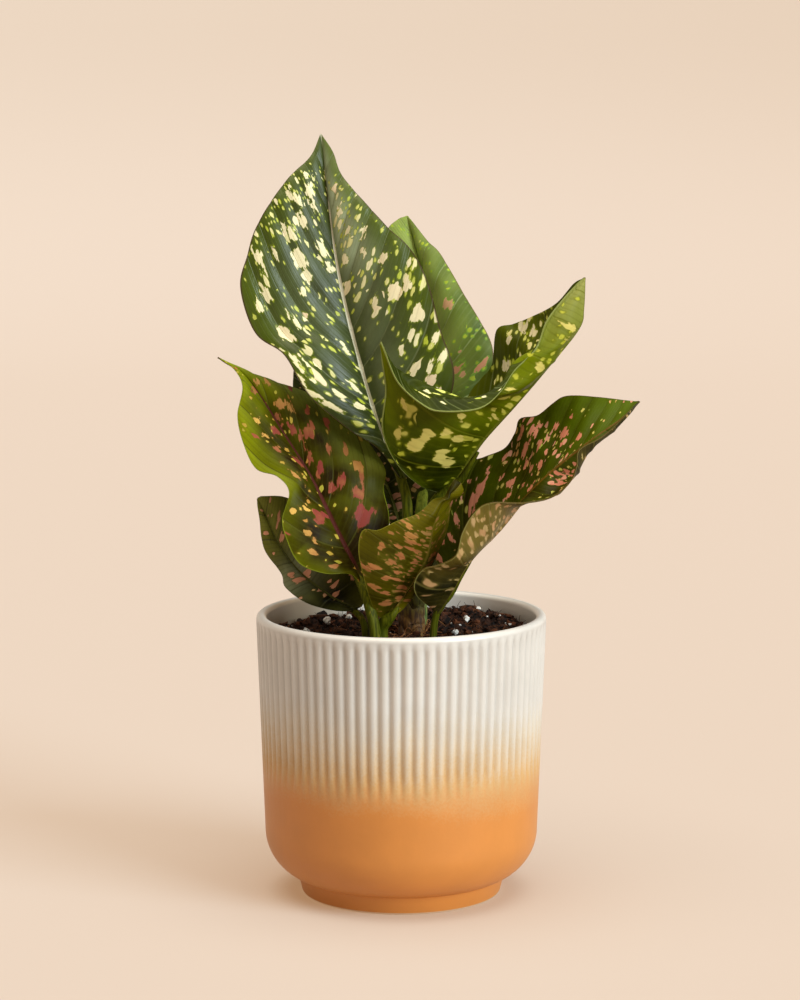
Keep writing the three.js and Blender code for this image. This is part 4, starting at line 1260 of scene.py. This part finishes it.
# Right leaf: the one that reaches furthest, a long wavy blade, dark green with coral spots, whose
# near half twists over low down and shows its paler underside. Its stalk stands in the soil.
CORAL = "#d88a6c"
ROSE = "#c97a5e"
right_leaf = {
    "name": "leaf_right", "seed": 4.07, "radius": 1.9, "bulge": (-3, -4), "spacing": 15, "quilt": 0.9,
    "waves": 4, "ripple": 0.4,
    "stalk": [(15, -20, 112), (15, -20, 119), (15, -20, 129), (17, -20, 141), (20, -21, 147)],
    "midrib": [
        (17, -20, 141), (24, -22, 153), (32, -25, 167), (46, -28, 182), (58, -30, 197), (71, -31, 210),
        (90, -31, 225), (103, -29, 234), (112, -26, 242),
    ],
    "left": [
        (16, -18, 144), (14, -11, 157), (15, -5, 170), (20, 1, 191), (30, 5, 208), (40, 5, 212), (50, 4, 216),
        (55, 2, 224), (57, 1, 231), (65, -3, 233), (72, -7, 239), (79, -10, 243), (94, -16, 243),
        (107, -22, 242),
    ],
    "right": [
        (15, -21, 142), (7, -37, 152), (6, -42, 159), (10, -45, 165), (17, -46, 167), (25, -47, 172),
        (28, -49, 183), (33, -51, 192), (40, -51, 197), (54, -48, 197), (69, -44, 199), (79, -42, 206),
        (82, -41, 214), (83, -40, 221), (94, -36, 227), (103, -31, 234), (110, -27, 241),
    ],
    "marks": [
        (0.65, -0.76, 4.0, 1.8), (0.64, -0.52, 2.4, 1.5), (0.58, -0.70, 3.8, 1.3), (0.62, -0.90, 3.0, 1.1),
        (0.72, -0.68, 1.7, 1.1), (0.73, -0.48, 2.8, 2.0, 0.5), (0.76, -0.21, 2.2, 1.2, 0.5),
        (0.77, -0.63, 1.2, 1.0, 0.8), (0.70, -0.35, 1.3, 1.1, 0.5), (0.49, -0.44, 3.0, 1.8),
        (0.60, -0.29, 2.4, 2.0), (0.57, -0.39, 2.2, 1.2), (0.56, -0.52, 2.6, 0.9),
        (0.54, -0.08, 2.6, 1.3, 0.5), (0.40, -0.62, 4.2, 2.5), (0.36, -0.62, 3.2, 1.9),
        (0.38, -0.95, 1.6, 1.3, 0.5), (0.39, -0.83, 1.3, 1.2, 0.7), (0.31, -0.88, 2.2, 1.3, 0.3),
        (0.25, -0.87, 2.9, 1.6), (0.18, -0.94, 3.0, 1.2), (0.20, -0.80, 2.4, 1.2),
        (0.66, 0.26, 4.0, 0.9, 0.8), (0.64, 0.38, 3.4, 0.8, 0.8), (0.31, 0.90, 3.4, 1.6, 0.6),
        (0.42, 0.85, 2.4, 1.2, 0.9), (0.35, -0.80, 2.4, 1.2, 0.3), (0.33, -0.54, 2.2, 1.1),
        (0.28, -0.66, 2.6, 1.0), (0.27, -0.44, 2.0, 0.9, 0.5), (0.22, -0.64, 2.4, 0.9),
        (0.22, -0.95, 2.0, 1.0, 0.3), (0.15, -0.74, 2.4, 1.0), (0.45, -0.80, 2.6, 1.4),
        (0.47, -0.62, 2.2, 1.3), (0.45, -0.25, 2.4, 1.2), (0.51, -0.24, 2.0, 1.0, 0.5),
        (0.35, -0.28, 2.0, 1.0), (0.52, -0.86, 2.2, 1.0, 0.4),
    ],
    "speckle": lambda along, across: (
        0.4 if across > 0 and along < 0.2 else 1.25 if along < 0.45 else 0.9 if along < 0.72 else 0.25
    ),
    "shade": lambda along, across: (0.15 if across < 0 else 0.02) + 0.55 * past(along, 0.55) / 0.45,
    "under_shade": lambda along, across: (
        0.7 * share_of((along - 0.17) / 0.18) * share_of((0.65 - along) / 0.2)
    ),
}
right_look = {
    "deep": "#2d2601", "light": "#566c03", "vein": "#535711", "rib_foot": "#4a4810", "rib": "#6a4c16",
    "rib_width": 0.7, "edge": "#514218", "halo": "#645f09", "halo_strength": 0.35, "mark": CORAL,
    "mark_other": ROSE, "shine": 0.1,
    "spots": [(2.8, 1.8, 0.30, 0.6, "#bac656", "#d6a067"), (4.4, 2.2, 0.34, 0.9, CORAL, "#dea185")],
}
right_under = {
    "deep": "#1d1b04", "light": "#6f6024", "vein": "#6c6230", "rib": "#70602c", "halo": "#75652a",
    "edge": "#77733c", "gloss": 0.42, "shine": 0.12, "mark": "#b08a5c", "mark_other": "#bd9c68",
    "spots": [(2.6, 2.8, 0.42, 0.8, "#b09a62", "#bd9c6e"), (4.6, 3.2, 0.40, 0.9, "#b88a60", "#b08a5c")],
}
dress_leaf(right_leaf, right_look, right_under, 0.4, green_stalk, "dark_pink_leaf")

# Front leaf: the smallest open blade, folded round so that its bronze olive underside with salmon
# streaks faces the front. Its stout stalk stands in the soil at the front.
SALMON = "#9e633b"
front_leaf = {
    "name": "leaf_front", "seed": 4.07, "radius": 3.2, "keel": 0.1, "bulge": (-2, -4), "spacing": 11,
    "sweep": (0.5, 0.12), "quilt": 0.5, "waves": 2, "ripple": 0.2,
    "stalk": [(-9.5, -31, 112), (-9.5, -31, 120), (-9.5, -31, 129), (-9, -31, 136), (-7, -31, 142)],
    "midrib": [
        (-7, -31, 140), (2, -31, 153), (11, -35, 169), (14, -38, 184), (17, -37, 192), (21, -35, 198),
        (25, -33, 201), (28, -31, 204),
    ],
    "left": [
        (-4, -31, 140), (4, -27, 147), (12, -23, 159), (18, -18, 172), (22, -17, 181), (23, -19, 190),
        (23, -24, 195), (26, -30, 197), (29, -30, 200),
    ],
    "right": [
        (-9, -32, 139), (-13, -35, 145), (-17, -41, 159), (-20, -45, 174), (-18, -46, 184), (-11, -46, 184),
        (-2, -45, 188), (8, -42, 191), (15, -38, 197), (20, -36, 198), (22, -34, 201), (25, -32, 206),
    ],
    "marks": [
        (0.58, 0.48, 2.6, 1.56, 1), (0.50, 0.31, 3.8, 1.01), (0.54, 0.38, 2.2, 0.7), (0.42, 0.35, 2.6, 1.17),
        (0.43, 0.16, 2.2, 0.86), (0.35, 0.24, 2.4, 0.78), (0.48, 0.52, 2.2, 0.94, 0.3),
        (0.44, 0.70, 2.0, 1.01, 0.4), (0.33, 0.78, 2.8, 1.48, 0.3), (0.37, 0.50, 1.5, 0.78, 0.3),
        (0.30, 0.34, 2.6, 1.17), (0.29, 0.52, 2.0, 0.94, 0.2), (0.20, 0.55, 2.6, 1.25),
        (0.12, 0.45, 3.0, 1.09, 0.2), (0.14, 0.10, 3.0, 1.25, 0.2), (0.22, 0.85, 3.0, 0.78, 0.4),
        (0.52, -0.35, 2.2, 0.55, 0.2), (0.47, -0.25, 2.2, 0.55, 0.2), (0.58, -0.40, 2.2, 0.55, 0.6),
        (0.64, 0.80, 1.6, 0.78, 1),
    ],
    "speckle": lambda along, across: 1.3 if along < 0.84 else 0.0,
    "shade": lambda along, across: (
        0.15 + past(min(along, 0.78), 0.35) - 6 * past(along, 0.8)
        + (0.3 + past(0.6, 3 * along)) * past(across, 0.4) if across > 0 else 0.85
    ),
}
front_look = {
    "deep": "#191c01", "light": "#4d5b05", "vein": "#4a4e17", "rib_foot": "#55520f", "rib": "#67591d",
    "rib_width": 0.9, "edge": "#6c671d", "halo": "#575311", "mark": SALMON, "mark_other": "#a8763e",
    "shine": 0.1,
    "spots": [(2.6, 1.8, 0.30, 0.6, SALMON, "#a09246"), (5.0, 1.8, 0.35, 0.8, SALMON, "#b48067")],
}
front_under = {
    "deep": "#1b1701", "light": "#645b05", "vein": "#4a4410", "gloss": 0.42, "shine": 0.06,
    "spots": [(2.4, 2.4, 0.45, 0.8, "#8a6c34", SALMON), (3.2, 3.2, 0.34, 0.9, SALMON, "#94703e")],
}
dress_leaf(front_leaf, front_look, front_under, 0.1, green_stalk, "bronze_leaf")

# Left leaf: broad and arching, with a lime margin, a dark olive middle, a dark red midrib and red
# and orange blotches. Its stalk stands in the soil just behind the front leaf's.
RED = "#7d3830"
left_leaf = {
    "name": "leaf_left", "seed": 3.7, "radius": 2.6, "bulge": (3, 4), "spacing": 16, "slant": 24,
    "quilt": 1.0, "ripple": 0.4,
    "stalk": [
        (-12, -36, 112), (-12, -36, 120), (-12, -36, 130), (-13.5, -35, 140), (-17, -31, 152),
        (-20, -29, 160),
    ],
    "midrib": [
        (-18, -29, 156), (-21, -28, 162), (-31, -22, 181), (-42, -12, 202), (-55, -2, 222), (-69, 6, 243),
        (-77, 7, 252), (-88, 5, 260),
    ],
    "left": [
        (-19, -30, 155), (-24, -33, 161), (-36, -37, 162), (-48, -37, 167), (-54, -34, 178), (-56, -30, 187),
        (-53, -25, 199), (-59, -20, 206), (-69, -16, 209), (-75, -11, 220), (-78, -5, 233), (-76, 1, 246),
        (-80, 5, 254),
    ],
    "right": [
        (-16, -28, 157), (-12, -24, 164), (-7, -16, 175), (-6, -11, 185), (-9, -5, 197), (-8, -2, 206),
        (-12, 1, 214), (-22, 6, 227), (-37, 11, 238), (-53, 13, 245), (-70, 11, 251), (-81, 7, 256),
    ],
    "marks": [
        (0.58, 0.33, 3.4, 2.4, 0.1), (0.61, 0.15, 2.8, 1.5, 0.1), (0.58, 0.19, 2.4, 0.9, 0.1),
        (0.50, 0.12, 3.2, 0.8, 0.1), (0.44, 0.16, 2.7, 2.2), (0.36, 0.18, 2.8, 1.5), (0.37, 0.33, 3.2, 1.8),
        (0.40, 0.64, 2.8, 2.4, 0.5), (0.355, 0.60, 4.0, 1.0, 0.2), (0.31, 0.53, 3.2, 2.6, 0.1),
        (0.23, 0.46, 5.6, 3.2), (0.24, 0.70, 2.4, 1.4), (0.49, 0.42, 2.2, 1.0, 0.2),
        (0.46, 0.60, 2.0, 1.1, 0.3), (0.73, 0.28, 3.0, 1.4, 0.5), (0.69, 0.36, 2.4, 1.2, 0.5),
        (0.82, 0.58, 1.8, 1.2, 0.5), (0.84, 0.26, 1.4, 1.2, 0.5), (0.82, -0.14, 2.2, 1.4, 0.2),
        (0.69, 0.07, 2.0, 1.2, 0.2), (0.65, -0.20, 3.0, 1.8, 0.1), (0.59, -0.40, 2.0, 1.6, 0.2),
        (0.50, -0.20, 3.8, 2.0), (0.46, -0.55, 4.6, 1.1, 0.5), (0.29, -0.28, 3.8, 2.4, 0.1),
        (0.28, -0.10, 4.6, 1.2), (0.37, -0.78, 1.6, 1.4, 1), (0.35, -0.50, 3.0, 1.2, 1),
        (0.27, -0.59, 2.2, 1.5, 0.7), (0.24, -0.54, 2.2, 1.5, 0.5), (0.22, -0.68, 2.8, 1.6, 0.5),
        (0.13, -0.72, 2.4, 1.2, 0.3), (0.72, -0.50, 1.6, 1.2, 1), (0.66, -0.50, 1.6, 0.9, 0.7),
    ],
    "speckle": lambda along, across: 0.9 if along > 0.55 or across < -0.2 else 0.45,
    "shade": lambda along, across: (
        0.03 + 2.1 * past(-across, 0.48) * bell(along, 0.62, 0.22) + 2.8 * past(along, 0.64)
        + (0.8 * past(-across, 0.6) if along < 0.25 else 0)
    ),
    # Painted sheen: a grey green laid over the right half, where the tallest leaf shades it.
    "painted_sheen": lambda along, across: 1.9 * past(across, 0.4) * share_of(6 * along - 1.6),
}
left_look = {
    "deep": "#211701", "light": "#767e0a", "painted_sheen": "#76812e", "vein": "#4a4a17", "rib_foot": "#403a10",
    "rib": "#47201a", "rib_width": 1.3, "edge": "#6c751a", "halo": "#674c16", "halo_strength": 0.3,
    "mark": RED, "mark_other": "#c8a050", "lobe": 0.05, "faint": 0.04, "gloss": 0.4, "shine": 0.05,
    "spots": [(2.8, 2.0, 0.22, 0.6, "#a87838", "#a8a83c"), (4.6, 2.2, 0.10, 0.9, "#a0603a", RED)],
}
left_under = {"deep": "#464b17", "light": "#798329", "gloss": 0.5}
dress_leaf(left_leaf, left_look, left_under, 1.0, green_stalk, "lime_red_leaf")

# Low left leaf: a narrow dark blade that hangs out over the rim behind the left leaf, with a few
# small salmon spots. Its thin stalk stands in the soil.
low_left_leaf = {
    "name": "leaf_low_left", "seed": 5.18, "radius": 1.6, "bulge": (2, 3), "spacing": 13, "quilt": 0.7,
    "stalk": [(-17, -27, 112), (-17, -27, 120), (-17, -27, 131), (-19, -26, 139), (-26, -22, 145)],
    "midrib": [
        (-22, -24, 143), (-34, -18, 148), (-49, -12, 159), (-59, -8, 172), (-65, -4, 184), (-69, -3, 193),
    ],
    "left": [
        (-23, -25, 142), (-32, -24, 142), (-45, -20, 145), (-55, -17, 152), (-57, -15, 158), (-65, -10, 169),
        (-68, -6, 184), (-69, -4, 190),
    ],
    "right": [
        (-19, -24, 144), (-14, -17, 151), (-19, -10, 160), (-34, -6, 167), (-43, -2, 180), (-53, 0, 192),
        (-66, -3, 194),
    ],
    "marks": [
        (0.78, 0.30, 1.3, 0.6, 0.5), (0.76, 0.22, 1.3, 0.6, 0.5), (0.78, -0.60, 1.2, 0.9),
        (0.68, 0.15, 2.0, 1.0, 0.3), (0.41, 0.06, 2.9, 1.2), (0.40, -0.35, 2.0, 1.2), (0.24, 0.30, 2.2, 1.2),
        (0.23, 0.69, 1.8, 1.1), (0.26, -0.03, 1.8, 1.1, 0.5), (0.19, 0.09, 1.8, 1.3, 0.5),
        (0.46, -0.52, 1.2, 0.9),
    ],
    "speckle": lambda along, across: 0.9,
    # Partly painted light: the right margin is made lighter where the left leaf shades it.
    "shade": lambda along, across: (
        0.08 + 1.3 * past(along, 0.28) + (1.6 if along > 0.4 else 0.5) * past(across, 0.3)
    ),
    # Painted sheen: a grey satin patch across the middle of the blade.
    "painted_sheen": lambda along, across: 0.75 * bell(along, 0.46, 0.12) * (across < 0.5),
}
low_left_look = {
    "deep": "#100e01", "light": "#70722c", "painted_sheen": "#757a5c", "vein": "#47482a", "rib_foot": "#3a3c12",
    "rib": "#515327", "rib_width": 0.8, "edge": "#42421c", "halo": "#514815", "halo_strength": 0.3,
    "mark": "#c48b6c", "mark_other": "#b67d5e", "shine": 0.07,
    "spots": [(2.6, 1.8, 0.12, 0.5, "#bba462", "#ca8f6f"), (4.4, 2.0, 0.08, 0.7, "#ca8f6f", "#cc9c7e")],
}
low_left_under = {"deep": "#35391a", "light": "#5f6232", "gloss": 0.5}
dress_leaf(low_left_leaf, low_left_look, low_left_under, 1.0, green_stalk, "dark_pink_leaf")

# Back left leaf: mostly hidden behind the others, dark green with tan and pink spots. It grew with
# its stalk from the crown of the cane.
back_left_leaf = {
    "name": "leaf_back_left", "seed": 5.55, "radius": 1.8, "bulge": (3, 3), "spacing": 14,
    "stalk": [(2, -1, 147), (2, -1, 155), (1, 3, 165), (-1, 5, 176)],
    "midrib": [(0, 4, 172), (-4, 10, 189), (-15, 20, 213), (-30, 30, 232), (-41, 37, 246), (-49, 42, 259)],
    "left": [
        (-2, 3, 172), (-8, 6, 184), (-18, 13, 199), (-31, 22, 213), (-44, 31, 227), (-52, 37, 239),
        (-53, 40, 247), (-52, 42, 254),
    ],
    "right": [
        (4, 5, 173), (16, 9, 186), (19, 13, 203), (3, 19, 223), (-14, 28, 239), (-28, 37, 252),
        (-41, 42, 260),
    ],
    "marks": [
        (0.20, 0.12, 2.2, 1.5), (0.15, 0.10, 2.2, 1.7, 0.3), (0.24, 0.56, 1.6, 0.9, 0.6),
        (0.17, 0.65, 2.0, 1.1, 0.2), (0.33, 0.30, 2.4, 1.4, 0.2), (0.45, 0.50, 2.6, 1.5),
        (0.60, -0.40, 2.6, 1.6, 0.3), (0.55, 0.20, 2.4, 1.4), (0.40, -0.50, 2.4, 1.5, 0.4),
        (0.75, 0.40, 2.0, 1.2, 0.2),
    ],
    "speckle": lambda along, across: 1.1,
    "shade": lambda along, across: 0.3,
}
back_left_look = {
    "deep": "#1b1f03", "light": "#424b0e", "vein": "#51562a", "rib_foot": "#3c4412", "rib": "#64682e",
    "rib_width": 1.0, "edge": "#474b20", "halo": "#645f18", "halo_strength": 0.35, "mark": "#c79177",
    "mark_other": "#bc816c", "shine": 0.12,
    "spots": [(2.8, 1.4, 0.22, 0.5, "#b69f5f", "#c79177"), (4.6, 2.0, 0.20, 0.8, "#cb987e", "#c48973")],
}
back_left_under = {"deep": "#35391a", "light": "#5f6232", "gloss": 0.5}
dress_leaf(back_left_leaf, back_left_look, back_left_under, 1.0, green_stalk, "dark_pink_leaf")

# Studio: plain pale paper that bends up far behind the pot, and glows faintly so that its shadow is
# soft. A large soft cool light comes from the front right, a broad warm one from straight above, in
# an even pale room. None of it is part of the object.
FLOOR_COLOUR = "#9b9b9b"
WALL_COLOUR = "#8f8e8c"
PAPER_GLOW = "#9d7a58"
WALL_HEIGHT = 0.55
FLOOR_REACH = 2.5
FLOOR_SECTORS = 96
COVE_BEND = 5.0
COVE_TILT = 32
COVE_TOP = 1.5
COVE_STEPS = 16
KEY_LIGHT = {"came_from": (0.74, -0.56, 0.38), "energy": 3.7, "width": 34, "colour": (0.82, 0.95, 1.0)}
TOP_LIGHT = {"came_from": (0.0, -0.10, 0.99), "energy": 3.35, "width": 60, "colour": (1.0, 0.88, 0.74)}
ROOM_COLOUR = "#f4efe8"
ROOM_STRENGTH = 0.17
outline = [(0, 0), (1, 0)] + arc(FLOOR_REACH, COVE_BEND, COVE_BEND, -90, COVE_TILT - 90, COVE_STEPS)
rise = COVE_TOP - outline[-1][1]
outline.append((outline[-1][0] + rise / math.tan(math.radians(COVE_TILT)), COVE_TOP))
bm = turn_outline(outline, FLOOR_SECTORS, 0.0001)
face_outwards(bm, smooth=True)
tree, shader, place, paper = new_material("paper_sweep")
height = add_node(tree, "ShaderNodeSeparateXYZ", {0: place}).outputs["Z"]
rising = fade(tree, height, 0.0, WALL_HEIGHT)
set_sockets(tree, shader, {
    "Base Color": mix_colours(tree, rising, tint(FLOOR_COLOUR), tint(WALL_COLOUR)),
    "Roughness": 0.9,
    "Specular IOR Level": 0.1,
    "Emission Color": tint(PAPER_GLOW),
    "Emission Strength": 1.0,
})
mesh = bpy.data.meshes.new("floor")
bm.to_mesh(mesh)
bm.free()
mesh.materials.append(paper)
floor = bpy.data.objects.new("floor", mesh)
bpy.context.scene.collection.objects.link(floor)


def add_sun(name, came_from, energy, width, colour):
    """A soft light from far away, with its width in degrees."""
    data = bpy.data.lights.new(name, "SUN")
    data.energy = energy
    data.angle = math.radians(width)
    data.color = colour
    lamp = bpy.data.objects.new(name, data)
    lamp.rotation_euler = Vector(came_from).to_track_quat("Z", "Y").to_euler()
    bpy.context.scene.collection.objects.link(lamp)


add_sun("key", **KEY_LIGHT)
add_sun("top", **TOP_LIGHT)
world = bpy.data.worlds.new("room")
world.use_nodes = True
world.node_tree.nodes["Background"].inputs["Color"].default_value = tint(ROOM_COLOUR)
world.node_tree.nodes["Background"].inputs["Strength"].default_value = ROOM_STRENGTH
bpy.context.scene.world = world
bpy.context.scene.view_settings.view_transform = "Standard"
